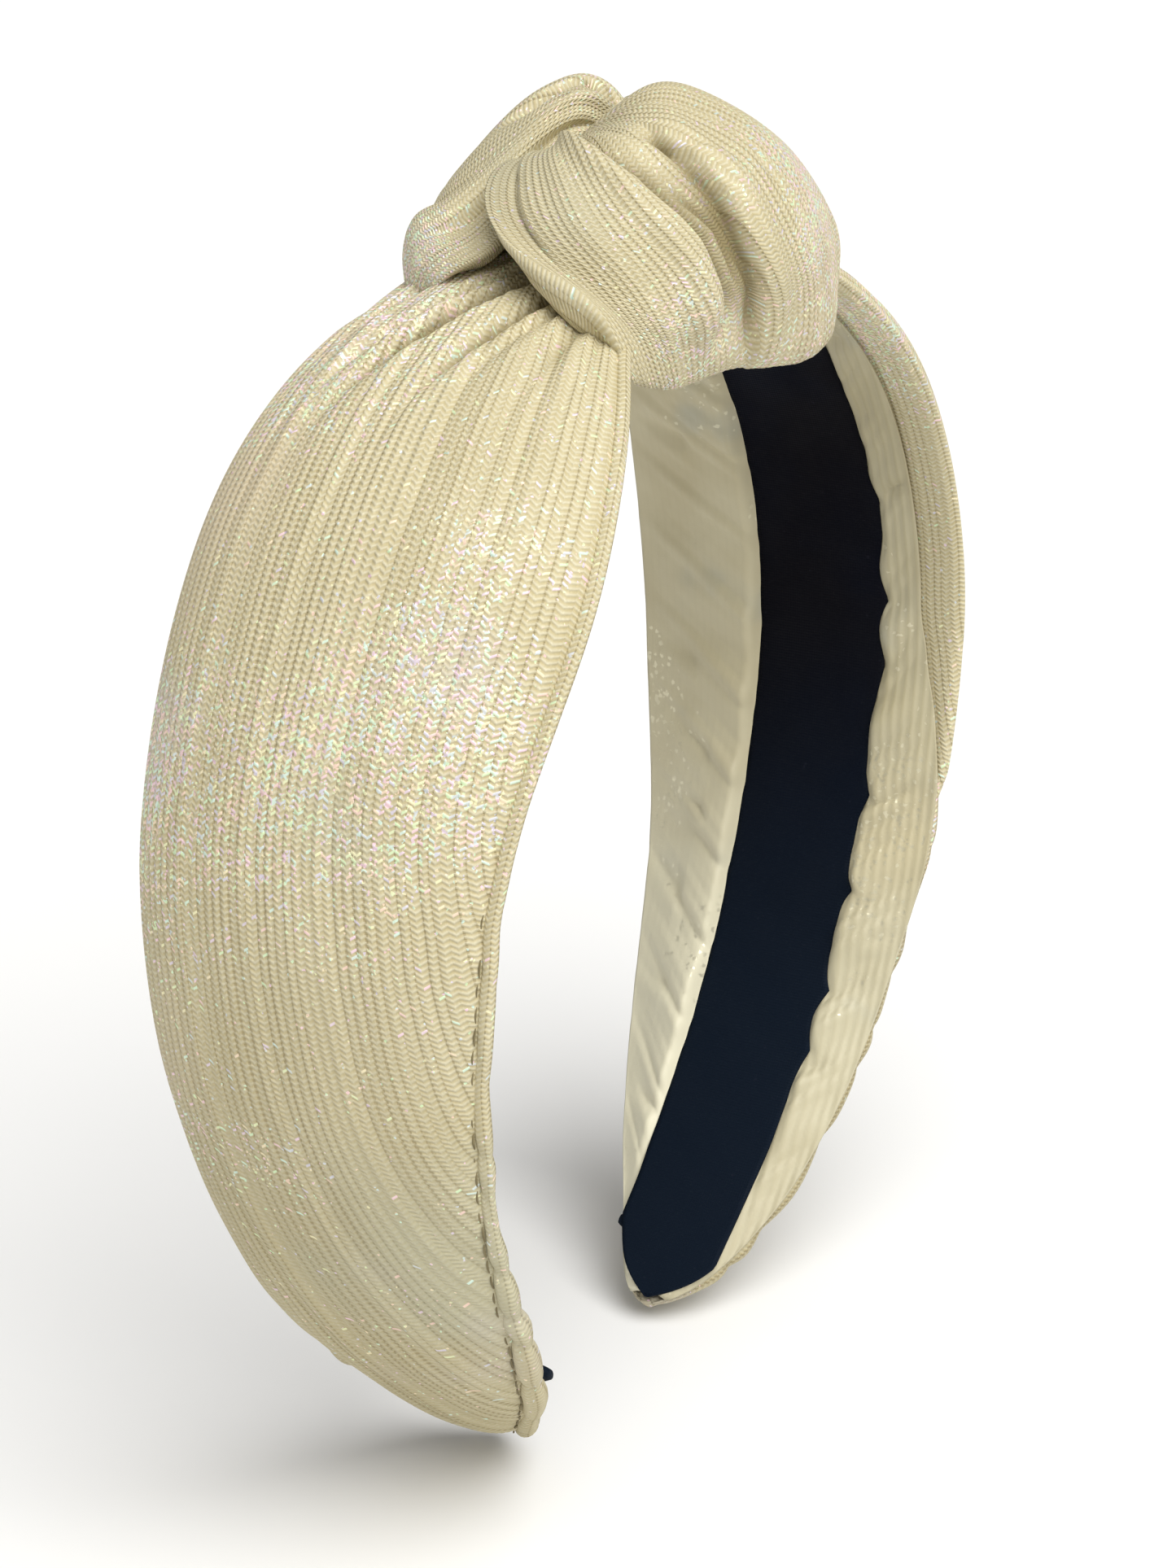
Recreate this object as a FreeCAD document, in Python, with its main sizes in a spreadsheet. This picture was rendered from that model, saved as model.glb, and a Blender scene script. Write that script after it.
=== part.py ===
"""Knotted headband: a plastic hoop lined with ribbon, two padded fabric wings and a fabric knot.

Frame: millimetres, +Z up, +X to the wearer's left, -Y to the face. The origin is the middle of the ribbon's
inner face at the crown, where the band rests on the head.

Every layer follows one curve in the XZ plane: a crown arc about (0, -inner_radius), then a wider side arc
whose centre lies side_shift further in. A place on the curve is given by its turn, the angle from the top in
degrees, and a height out from the ribbon's inner face.
"""

import FreeCAD
import Part
import Sketcher
import math
import os

from FreeCAD import Vector

DIMENSIONS = {
    # The curve.
    "inner_radius": 62.5,
    "side_shift": 42.0,
    "flex_turn": 30.0,
    "tip_turn": 142.5,
    "flex_gap": 0.7,
    # Ribbon, adhesive and hoop, counted out from the head.
    "ribbon_thickness": 0.5,
    "glue_thickness": 0.6,
    "hoop_thickness": 1.8,
    "ribbon_half_width": 9.6,
    "glue_half_width": 5.5,
    "glue_tip_half_width": 3.6,
    "hoop_half_width": 9.0,
    "tip_half_width": 5.6,
    "taper_drop": 36.0,
    "taper_clearance": 0.5,
    "tip_cap_turn": 0.5,
    "tip_cap_inset": 1.0,
    # Wings.
    "wing_turn": 33.8,
    "widest_turn": 66.0,
    "wing_half_width": 24.0,
    # Turns away from the widest place at which each end of a wing would come to a point.
    "upper_point": 79.5,
    "lower_point": 87.3,
    "close_sections": 12.0,
    "pad_height": 5.6,
    "pad_full_turn": 75.0,
    "least_crown": 0.3,
    "edge_height": 3.0,
    "edge_thin_turn": 100.0,
    "edge_thin_span": 42.0,
    "edge_thin_share": 0.55,
    "skin_thickness": 0.8,
    "layer_gap": 0.15,
    "hem_radius": 1.5,
    "hem_turn_back": 1.6,
    "lining_tuck": 6.3,
    "lining_tuck_share": 0.7,
    "lining_clearance": 0.12,
    "stitch_pitch": 4.2,
    "stitch_length": 2.8,
    "stitch_radius": 0.28,
    "stitch_clearance": 0.12,
    # Knot.
    "knot_half_length": 31.0,
    "knot_half_width": 27.5,
    "knot_half_height": 15.3,
    "knot_centre_height": 5.9,
    "knot_slant": 28.0,
    "knot_slot_half_width": 13.0,
    "knot_slot_height": 8.6,
    "neck_half_width": 12.6,
    "neck_top_height": 8.4,
    "neck_start_turn": 0.6,
    "neck_turn": 27.0,
}
SIDES = {"left": 1, "right": -1}
WING_STATIONS = 13
TIP_STATIONS = 5
# How much longer a cutting tool is than the part, and half the step that gives the band's direction.
CUT_MARGIN = 20.0
KNOT_CUT_REACH = 80
HALF_STEP = 0.01

doc = FreeCAD.newDocument("knotted_headband")
sheet = doc.addObject("Spreadsheet::Sheet", "Dims")
for row, (alias, value) in enumerate(DIMENSIONS.items(), start=1):
    sheet.set(f"A{row}", alias)
    sheet.set(f"B{row}", str(value))
    sheet.setAlias(f"B{row}", alias)
doc.recompute()
size = {alias: float(sheet.get(alias)) for alias in DIMENSIONS}
nodes = []


def keep(feature, label):
    """Names a finished sub-part."""
    feature.Label = label
    nodes.append(feature)
    return feature


# ---------------------------------------------------------------- places on the curve


def point(turn, height, side=1, across=0.0):
    """The place at a turn and a height out from the ribbon's inner face."""
    radius = size["inner_radius"] + height
    angle = math.radians(turn)
    shift = size["side_shift"] if turn > 90 else 0.0
    return Vector(
        side * ((radius + shift) * math.sin(angle) - shift),
        across,
        (radius + shift) * math.cos(angle) - size["inner_radius"],
    )


def coordinates(turn, height, side):
    """The same place as two expressions on the sheet. turn and height are expressions themselves."""
    past_side = "tip_turn" in turn
    shift = "Dims.side_shift" if past_side else "0"
    radius = f"(Dims.inner_radius + {height} + {shift})"
    x = f"{side} * ({radius} * sin({turn}) - {shift})"
    z = f"{radius} * cos({turn}) - Dims.inner_radius"
    return x, z


def wing_half_width(turn):
    """Half the wing's width: it swells from the knot to its widest turn and draws in to the tip."""
    away = turn - size["widest_turn"]
    narrowing = (away / size["upper_point"]) ** 2 if away < 0 else (away / size["lower_point"]) ** 3.5
    return size["wing_half_width"] * (1 - narrowing)


def pad_height(turn):
    """How far the padding stands above the hoop at the wing's middle."""
    return size["pad_height"] * (1 - (turn / size["pad_full_turn"] - 1) ** 4)


def edge_height(turn):
    """The padding's thickness at its two edges."""
    thinning = (max(turn - size["edge_thin_turn"], 0) / size["edge_thin_span"]) ** 2
    return size["edge_height"] * (1 - size["edge_thin_share"] * thinning)


def wing_turns():
    """The turns of a wing's sections, closer together towards the tip."""
    last = size["tip_turn"] - size["hem_turn_back"]
    close = last - size["close_sections"]
    first = size["wing_turn"]
    spread = [first + (close - first) * i / (WING_STATIONS - 1) for i in range(WING_STATIONS)]
    return spread + [close + (last - close) * i / TIP_STATIONS for i in range(1, TIP_STATIONS + 1)]


# ---------------------------------------------------------------- bands: ribbon, adhesive and hoop


def set_point(sketch, geometry, end, x, z):
    """Ties a sketch point to two expressions."""
    for kind, expression in (("DistanceX", x), ("DistanceY", z)):
        now = sketch.getPoint(geometry, end)
        value = now.x if kind == "DistanceX" else now.y
        index = sketch.addConstraint(Sketcher.Constraint(kind, geometry, end, value))
        sketch.setExpression(f"Constraints[{index}]", expression)


def origin_plane(body, role):
    return next(f for f in body.Origin.OriginFeatures if f.Role == role)


def new_sketch(body, name, role):
    sketch = body.newObject("Sketcher::SketchObject", name)
    sketch.AttachmentSupport = [(origin_plane(body, role), "")]
    sketch.MapMode = "FlatFace"
    return sketch


def flat(vector):
    """A place in the XZ plane as sketch coordinates."""
    return Vector(vector.x, vector.z, 0)


def arc_through(a, middle, b):
    return Part.Arc(flat(a), flat(middle), flat(b))


def crown_profile(sketch, bottom, top):
    """The band between the two flex turns, as two arcs and two ends."""
    edge = size["flex_turn"] - math.degrees(size["flex_gap"] / size["inner_radius"])
    heights = [heights_of(bottom), heights_of(top)]
    corners = [[point(edge, h, -1), point(edge, h, 1)] for h in heights]
    for (left, right), h in zip(corners, heights):
        sketch.addGeometry(arc_through(left, point(0, h), right), False)
    for k in (0, 1):
        sketch.addGeometry(Part.LineSegment(flat(corners[0][k]), flat(corners[1][k])), False)
    turn = "(Dims.flex_turn - Dims.flex_gap / Dims.inner_radius * 180 / pi)"
    ends = ends_of(sketch, (0, 1))
    for arc, height in ((0, bottom), (1, top)):
        set_centre(sketch, arc, "0")
        x, z = coordinates(turn, height, ends[arc][0][1])
        set_point(sketch, arc, ends[arc][0][0], x, z)
        # The far end lies on the arc already, so its height alone fixes it.
        index = sketch.addConstraint(
            Sketcher.Constraint("DistanceY", arc, ends[arc][1][0], sketch.getPoint(arc, ends[arc][1][0]).y)
        )
        sketch.setExpression(f"Constraints[{index}]", z)
    join_lines(sketch)


def arm_profile(sketch, side, bottom, top):
    """The band from the flex turn down to the tip: crown arcs, side arcs and two ends."""
    start, tip = size["flex_turn"], size["tip_turn"]
    heights = [heights_of(bottom), heights_of(top)]
    for h in heights:
        sketch.addGeometry(arc_through(point(start, h, side), point(60, h, side), point(90, h, side)), False)
        sketch.addGeometry(arc_through(point(90, h, side), point(110, h, side), point(tip, h, side)), False)
    for turn in (start, tip):
        a, b = (point(turn, h, side) for h in heights)
        sketch.addGeometry(Part.LineSegment(flat(a), flat(b)), False)
    for first, height in ((0, bottom), (2, top)):
        crown, lower = first, first + 1
        set_centre(sketch, crown, "0")
        set_centre(sketch, lower, f"{-side} * Dims.side_shift")
        x, z = coordinates("Dims.flex_turn", height, side)
        set_point(sketch, crown, end_near(sketch, crown, point(start, heights_of(height), side)), x, z)
        level = point(90, heights_of(height), side)
        crown_end, lower_end = end_near(sketch, crown, level), end_near(sketch, lower, level)
        sketch.addConstraint(Sketcher.Constraint("Coincident", crown, crown_end, lower, lower_end))
        index = sketch.addConstraint(Sketcher.Constraint("DistanceY", crown, crown_end, level.z))
        sketch.setExpression(f"Constraints[{index}]", "-Dims.inner_radius")
        tip_end = 3 - lower_end
        _, z = coordinates("Dims.tip_turn", height, side)
        index = sketch.addConstraint(
            Sketcher.Constraint("DistanceY", lower, tip_end, sketch.getPoint(lower, tip_end).y)
        )
        sketch.setExpression(f"Constraints[{index}]", z)
    join_lines(sketch)


def heights_of(expression):
    """The value of a height expression such as 'Dims.ribbon_thickness + Dims.glue_thickness'."""
    return sum(size[term.strip()[5:]] if "Dims." in term else float(term) for term in expression.split("+"))


def ends_of(sketch, arcs):
    """For each arc, its two ends as (end number, side)."""
    return {
        arc: [(end, 1 if sketch.getPoint(arc, end).x > 0 else -1) for end in (1, 2)] for arc in arcs
    }


def end_near(sketch, geometry, place):
    """1 or 2, whichever end of the geometry is nearer to the place."""
    target = flat(place)
    return min((1, 2), key=lambda end: sketch.getPoint(geometry, end).distanceToPoint(target))


def set_centre(sketch, arc, x):
    set_point(sketch, arc, 3, x, "-Dims.inner_radius")


def join_lines(sketch):
    """Ties the ends of every straight line to the arc ends that they meet."""
    lines = [i for i, g in enumerate(sketch.Geometry) if isinstance(g, Part.LineSegment)]
    arcs = [i for i, g in enumerate(sketch.Geometry) if not isinstance(g, Part.LineSegment)]
    for line in lines:
        for end in (1, 2):
            here = sketch.getPoint(line, end)
            arc, arc_end = min(
                ((a, e) for a in arcs for e in (1, 2)),
                key=lambda pair: sketch.getPoint(*pair).distanceToPoint(here),
            )
            sketch.addConstraint(Sketcher.Constraint("Coincident", line, end, arc, arc_end))


def band_body(label, side, bottom, top, half_width):
    """A band of constant width, padded both ways from the XZ plane. side 0 is the crown's piece."""
    body = doc.addObject("PartDesign::Body", f"{label}_body")
    profile = new_sketch(body, f"{label}_profile", "XZ_Plane")
    if side:
        arm_profile(profile, side, bottom, top)
    else:
        crown_profile(profile, bottom, top)
    pad = body.newObject("PartDesign::Pad", f"{label}_pad")
    pad.Profile = profile
    pad.Midplane = True
    pad.setExpression("Length", f"2 * {half_width}")
    return body


def taper(body, label, half_width, tip_half_width):
    """Cuts the arm's two edges back to a rounded tip, seen along X, taking all outside an outline."""
    low = point(size["tip_turn"], 0).z
    top, knee = CUT_MARGIN, low + size["taper_drop"]
    wide, narrow = heights_of(half_width) + size["taper_clearance"], heights_of(tip_half_width)
    far, bottom = wide + CUT_MARGIN, low - CUT_MARGIN
    outline = new_sketch(body, f"{label}_outline", "YZ_Plane")
    right = [(wide, top), (wide, knee), (narrow, low + narrow)]
    corners = right + [(-y, z) for y, z in reversed(right)]
    frame = [(far, top), (far, bottom), (-far, bottom), (-far, top)]
    places = [Vector(*p, 0) for p in corners]
    for a, b in ((0, 1), (1, 2), (3, 4), (4, 5)):
        outline.addGeometry(Part.LineSegment(places[a], places[b]), False)
    rounding = Part.Arc(places[2], Vector(0, low, 0), places[3])
    outline.addGeometry(rounding, False)
    box = [Vector(*p, 0) for p in frame]
    for a, b in ((0, 1), (1, 2), (2, 3)):
        outline.addGeometry(Part.LineSegment(box[a], box[b]), False)
    outline.addGeometry(Part.LineSegment(box[0], places[0]), False)
    outline.addGeometry(Part.LineSegment(box[3], places[5]), False)
    tip_z = "((Dims.inner_radius + Dims.side_shift) * cos(Dims.tip_turn) - Dims.inner_radius)"
    for line, end, sign in ((1, 2, 1), (2, 1, -1)):
        set_point(outline, line, end, f"{sign} * {tip_half_width}", f"{tip_z} + {tip_half_width}")
    wide_y = f"({half_width} + Dims.taper_clearance)"
    for line, end, sign in ((0, 2, 1), (3, 1, -1)):
        set_point(outline, line, end, f"{sign} * {wide_y}", f"{tip_z} + Dims.taper_drop")
    pocket = body.newObject("PartDesign::Pocket", f"{label}_taper")
    pocket.Profile = outline
    pocket.Type = "ThroughAll"
    pocket.Midplane = True
    return pocket


def make_bands():
    """Ribbon, adhesive and hoop, each in a crown piece and two arms that flex on the hoop's middle layer."""
    ribbon = ("0", "Dims.ribbon_thickness", "Dims.ribbon_half_width")
    glue_top = "Dims.ribbon_thickness + Dims.glue_thickness"
    glue = ("Dims.ribbon_thickness", glue_top, "Dims.glue_half_width")
    hoop = (glue_top, glue_top + " + Dims.hoop_thickness", "Dims.hoop_half_width")
    layers = {"lining_ribbon": ribbon, "adhesive_tape": glue, "hoop": hoop}
    for name, (bottom, top, half_width) in layers.items():
        keep(band_body(f"{name}_crown", 0, bottom, top, half_width), f"{name}_crown")
        for side_name, side in SIDES.items():
            label = f"{name}_{side_name}"
            body = band_body(label, side, bottom, top, half_width)
            narrow = "Dims.glue_tip_half_width" if name == "adhesive_tape" else "Dims.tip_half_width"
            taper(body, label, half_width, narrow)
            keep(body, label)


# ---------------------------------------------------------------- wings


def section(turn, side, outline):
    """A closed wire across the wing at one turn. outline lists (across, height) corners; a corner given as a
    pair of places is the middle and the end of an arc."""
    edges = []
    here = outline[0]
    for step in outline[1:]:
        bowed = isinstance(step[0], tuple)
        end = step[1] if bowed else step
        a, b = (point(turn, p[1], side, p[0]) for p in (here, end))
        if bowed:
            middle = point(turn, step[0][1], side, step[0][0])
            edges.append(Part.Arc(a, middle, b).toShape())
        else:
            edges.append(Part.LineSegment(a, b).toShape())
        here = end
    return Part.Wire(edges)


def lofted(sections):
    """A smooth solid through the sections."""
    solid = Part.makeLoft(sections, True, False)
    return solid if solid.Volume > 0 else solid.reversed()


def wing_levels(turn):
    """Half width of the padding, and the heights of its bottom, edge and middle."""
    half = wing_half_width(turn) - 2 * size["hem_radius"] - 2 * size["layer_gap"]
    bottom = (
        size["ribbon_thickness"] + size["glue_thickness"] + size["hoop_thickness"] + size["layer_gap"]
    )
    edge = edge_height(turn)
    return half, bottom, bottom + edge, bottom + max(pad_height(turn), edge + size["least_crown"])


def pad_solid(side):
    """The sponge pad: flat under, crowned over."""
    sections = []
    for turn in wing_turns():
        half, bottom, edge, middle = wing_levels(turn)
        base = [(-half, bottom), (half, bottom), (half, edge)]
        sections.append(section(turn, side, base + [((0.0, middle), (-half, edge)), (-half, bottom)]))
    return lofted(sections)


def outer_skin_solid(side):
    """The outer fabric, lying over the pad."""
    sections = []
    rise, thick = size["layer_gap"], size["skin_thickness"]
    for turn in wing_turns():
        half, _, edge, middle = wing_levels(turn)
        low, high = rise, rise + thick
        sections.append(
            section(
                turn,
                side,
                [
                    (-half, edge + high),
                    ((0.0, middle + high), (half, edge + high)),
                    (half, edge + low),
                    ((0.0, middle + low), (-half, edge + low)),
                    (-half, edge + high),
                ],
            )
        )
    return lofted(sections)


def inner_skin_solids(side):
    """The inner fabric: a front and a rear strip, from between the ribbon and the hoop out to the hems."""
    gap = size["lining_clearance"]
    low = size["ribbon_thickness"] + gap
    high = size["ribbon_thickness"] + size["glue_thickness"] - gap
    strips = []
    for edge_side in (-1, 1):
        sections = []
        for turn in wing_turns():
            half = wing_levels(turn)[0]
            inner = min(size["lining_tuck"], half * size["lining_tuck_share"])
            a, b = edge_side * inner, edge_side * half
            sections.append(section(turn, side, [(a, low), (b, low), (b, high), (a, high), (a, low)]))
        strips.append(lofted(sections))
    return Part.makeCompound(strips)


def hem_solid(side, edge_side):
    """The rolled hem along one edge of a wing: a thin roll from the knot to the tip."""
    sections = []
    radius = size["hem_radius"]
    for turn in wing_turns():
        half = wing_half_width(turn) - radius
        level = (wing_levels(turn)[1] + wing_levels(turn)[2]) / 2
        centre = point(turn, level, side, edge_side * half)
        along = point(turn + HALF_STEP, level, side) - point(turn - HALF_STEP, level, side)
        sections.append(Part.Wire(Part.Circle(centre, along, radius).toShape()))
    return lofted(sections)


def fabric_top(turn, across):
    """The height of the outer fabric's top face: an arc over the pad, between its two edges."""
    half, _, edge, middle = wing_levels(turn)
    rise = middle - edge
    bow = (half**2 + rise**2) / (2 * rise)
    return edge + size["layer_gap"] + size["skin_thickness"] + math.sqrt(bow**2 - across**2) - (bow - rise)


def seam_solids(side, edge_side):
    """Running stitches along a hem: a short straight thread each, on the outer fabric by its edge."""
    stitches = []
    turns = wing_turns()
    middle_radius = size["inner_radius"] + size["side_shift"] / 2
    step = math.degrees(size["stitch_pitch"] / middle_radius)
    stitch = step * size["stitch_length"] / size["stitch_pitch"]
    radius = size["stitch_radius"]
    turn = turns[0] + step
    while turn + stitch < turns[-1] - step:
        ends = []
        for place in (turn, turn + stitch):
            across = wing_levels(place)[0] - 2 * radius
            level = fabric_top(place, across) + radius + size["stitch_clearance"]
            ends.append(point(place, level, side, edge_side * across))
        axis = ends[1] - ends[0]
        stitches.append(Part.makeCylinder(radius, axis.Length, ends[0], axis))
        turn += step
    return Part.makeCompound(stitches)


def make_wings():
    """Both wings: pad, outer and inner fabric, two hems and their stitching."""
    for side_name, side in SIDES.items():
        pieces = {
            f"sponge_pad_{side_name}": pad_solid(side),
            f"outer_fabric_{side_name}": outer_skin_solid(side),
            f"inner_fabric_{side_name}": inner_skin_solids(side),
        }
        for edge_name, edge_side in (("front", -1), ("rear", 1)):
            pieces[f"{edge_name}_hem_{side_name}"] = hem_solid(side, edge_side)
            pieces[f"{edge_name}_stitches_{side_name}"] = seam_solids(side, edge_side)
        for label, shape in pieces.items():
            feature = doc.addObject("Part::Feature", f"{label}_solid")
            feature.Shape = shape
            keep(feature, label)


# ---------------------------------------------------------------- tips


def make_tips():
    """The ribbon folded over each end of the hoop: a thin cap with rounded long edges."""
    for side_name, side in SIDES.items():
        label = f"ribbon_tip_{side_name}"
        body = doc.addObject("PartDesign::Body", f"{label}_body")
        sketch = new_sketch(body, f"{label}_profile", "XZ_Plane")
        top = "Dims.ribbon_thickness + Dims.glue_thickness + Dims.hoop_thickness"
        base, peak = heights_of("0"), heights_of(top)
        tip, beyond = size["tip_turn"], size["tip_turn"] + size["tip_cap_turn"]
        places = [(tip, base), (tip, peak), (beyond, peak), (beyond, base)]
        corners = [point(turn, height, side) for turn, height in places]
        for a, b in ((0, 1), (1, 2), (2, 3), (3, 0)):
            sketch.addGeometry(Part.LineSegment(flat(corners[a]), flat(corners[b])), False)
        for line in range(4):
            sketch.addConstraint(Sketcher.Constraint("Coincident", line, 2, (line + 1) % 4, 1))
        end_turn = "(Dims.tip_turn + Dims.tip_cap_turn)"
        ways = (("Dims.tip_turn", "0"), ("Dims.tip_turn", top), (end_turn, top), (end_turn, "0"))
        for line, (turn, height) in enumerate(ways):
            set_point(sketch, line, 1, *coordinates(turn, height, side))
        pad = body.newObject("PartDesign::Pad", f"{label}_pad")
        pad.Profile = sketch
        pad.Midplane = True
        pad.setExpression("Length", "2 * (Dims.tip_half_width - Dims.tip_cap_inset)")
        keep(body, label)


# ---------------------------------------------------------------- knot


def along_y(feature, half_length):
    """Turns a cylinder about the crown arc's axis, from -half_length to half_length along Y."""
    feature.Placement = FreeCAD.Placement(Vector(0, 0, 0), FreeCAD.Rotation(Vector(1, 0, 0), -90))
    feature.setExpression("Placement.Base.y", f"-{half_length}")
    feature.setExpression("Placement.Base.z", "-Dims.inner_radius")
    feature.setExpression("Height", f"2 * {half_length}")


def cylinder(name, radius, half_length):
    feature = doc.addObject("Part::Cylinder", name)
    feature.setExpression("Radius", radius)
    along_y(feature, half_length)
    return feature


def boolean(kind, name, base, tool):
    feature = doc.addObject(f"Part::{kind}", name)
    feature.Base = base
    feature.Tool = tool
    return feature


def knot_lump(name):
    """The knot's whole outer form, with a slot, open underneath, for the hoop and the necks."""
    lump = doc.addObject("Part::Ellipsoid", f"{name}_lump")
    lump.Angle1, lump.Angle2, lump.Angle3 = -90, 90, 360
    lump.setExpression("Radius1", "Dims.knot_half_height")
    lump.setExpression("Radius2", "Dims.knot_half_length")
    lump.setExpression("Radius3", "Dims.knot_half_width")
    lump.setExpression("Placement.Base.z", "Dims.knot_centre_height")
    slot = cylinder(f"{name}_slot", "Dims.inner_radius + Dims.knot_slot_height", "Dims.knot_slot_half_width")
    return boolean("Cut", f"{name}_slotted", lump, slot)


def knot_half(label, front):
    """One wrap of the knot: the part of the lump on one side of a slanted upright plane."""
    lump = knot_lump(label)
    reach = KNOT_CUT_REACH
    half_space = doc.addObject("Part::Box", f"{label}_half_space")
    half_space.Length, half_space.Width, half_space.Height = 2 * reach, reach, 2 * reach
    turn = FreeCAD.Rotation(Vector(0, 0, 1), size["knot_slant"])
    offset = Vector(-reach, -reach if front else 0, -reach)
    half_space.Placement = FreeCAD.Placement(turn.multVec(offset), turn)
    return keep(boolean("Common", f"{label}_wrap", lump, half_space), label)


def neck_profile(sketch, side):
    """A gathered neck, seen along Y: between the hoop and the knot, from the middle to the knot's mouth."""
    bottom = "Dims.ribbon_thickness + Dims.glue_thickness + Dims.hoop_thickness + Dims.layer_gap"
    top = "Dims.neck_top_height"
    start, end = size["neck_start_turn"], size["neck_turn"]
    for height in (bottom, top):
        a, middle, b = (point(t, heights_of(height), side) for t in (start, (start + end) / 2, end))
        sketch.addGeometry(arc_through(a, middle, b), False)
    for turn in (start, end):
        a, b = (point(turn, heights_of(height), side) for height in (bottom, top))
        sketch.addGeometry(Part.LineSegment(flat(a), flat(b)), False)
    for arc, height in ((0, bottom), (1, top)):
        set_centre(sketch, arc, "0")
        near = end_near(sketch, arc, point(start, heights_of(height), side))
        set_point(sketch, arc, near, *coordinates("Dims.neck_start_turn", height, side))
        far = 3 - near
        index = sketch.addConstraint(Sketcher.Constraint("DistanceY", arc, far, sketch.getPoint(arc, far).y))
        sketch.setExpression(f"Constraints[{index}]", coordinates("Dims.neck_turn", height, side)[1])
    join_lines(sketch)


def make_necks():
    """The gathered ends of the two wings, which cross inside the knot."""
    for side_name, side in SIDES.items():
        label = f"gathered_neck_{side_name}"
        body = doc.addObject("PartDesign::Body", f"{label}_body")
        sketch = new_sketch(body, f"{label}_profile", "XZ_Plane")
        neck_profile(sketch, side)
        pad = body.newObject("PartDesign::Pad", f"{label}_pad")
        pad.Profile = sketch
        pad.Midplane = True
        pad.setExpression("Length", "2 * Dims.neck_half_width")
        keep(body, label)


def check(feature):
    """Stops if a sub-part failed or has no valid solid."""
    shape = feature.Shape
    if shape.isNull() or not shape.isValid() or not shape.Solids:
        raise RuntimeError(f"{feature.Label} has no valid solid")
    if any(solid.Volume <= 0 for solid in shape.Solids):
        raise RuntimeError(f"{feature.Label} has a solid with no volume")


def main():
    make_bands()
    make_wings()
    make_tips()
    knot_half("knot_front_wrap", front=True)
    knot_half("knot_rear_wrap", front=False)
    make_necks()
    doc.recompute()
    failed = [o.Name for o in doc.Objects if {"Invalid", "Error"} & set(o.State)]
    if failed:
        raise RuntimeError(f"these objects failed: {failed}")
    os.makedirs("parts", exist_ok=True)
    for feature in nodes:
        check(feature)
    for feature in nodes:
        feature.Shape.exportStep(f"parts/{feature.Label}.step")
        box = feature.Shape.BoundBox
        print(
            f"{feature.Label:24s} {len(feature.Shape.Solids):3d} solids {feature.Shape.Volume:10.1f} mm3  "
            f"{box.XLength:6.1f} x {box.YLength:6.1f} x {box.ZLength:6.1f}"
        )


main()
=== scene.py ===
"""The looks of a knotted headband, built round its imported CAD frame.

Lengths are in millimetres until a mesh is made, and then in metres. +Z is up, +X the wearer's left and -Y the
face. Everything on the band is placed by a turn, which is the angle from the top in degrees, a height outward
from the ribbon's inner face, and a distance across. Side 1 is the wearer's left arm and side -1 the right.
"""

import math

import bpy
import numpy as np
from mathutils import Matrix, Vector


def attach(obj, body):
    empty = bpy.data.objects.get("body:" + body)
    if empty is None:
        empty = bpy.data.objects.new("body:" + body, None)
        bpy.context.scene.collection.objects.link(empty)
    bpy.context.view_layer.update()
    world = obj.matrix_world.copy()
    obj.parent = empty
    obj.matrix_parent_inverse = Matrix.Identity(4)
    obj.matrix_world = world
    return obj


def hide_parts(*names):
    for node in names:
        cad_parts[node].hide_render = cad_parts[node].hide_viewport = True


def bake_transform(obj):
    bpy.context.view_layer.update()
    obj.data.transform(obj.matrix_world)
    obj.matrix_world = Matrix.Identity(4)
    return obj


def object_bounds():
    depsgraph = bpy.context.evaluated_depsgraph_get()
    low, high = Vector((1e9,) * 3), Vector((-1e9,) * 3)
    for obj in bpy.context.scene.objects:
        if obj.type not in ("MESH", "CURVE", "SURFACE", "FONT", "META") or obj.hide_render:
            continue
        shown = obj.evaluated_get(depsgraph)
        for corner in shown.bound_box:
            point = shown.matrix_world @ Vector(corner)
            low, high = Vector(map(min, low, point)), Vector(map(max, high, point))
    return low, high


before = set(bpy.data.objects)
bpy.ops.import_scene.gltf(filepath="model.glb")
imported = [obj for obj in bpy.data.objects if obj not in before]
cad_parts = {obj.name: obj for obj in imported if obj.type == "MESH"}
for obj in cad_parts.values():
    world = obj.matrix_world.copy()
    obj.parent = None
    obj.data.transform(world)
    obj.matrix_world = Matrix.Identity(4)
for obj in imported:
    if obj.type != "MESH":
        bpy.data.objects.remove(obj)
cad_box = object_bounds()

MM = 0.001
SIDE_NAMES = {1: "left", -1: "right"}
EDGE_NAMES = {True: "front", False: "rear"}

# The band's curve, as in the CAD: a half circle over the head, and below it a larger circle on each side.
INNER_RADIUS = 62.5
SIDE_SHIFT = 42.0
CROWN_END_TURN = 90
HOOP_MIDDLE = 2.0
CLOTH_MIDDLE = 5
# A full turn, in radians.
ROUND = 2 * math.pi

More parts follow.
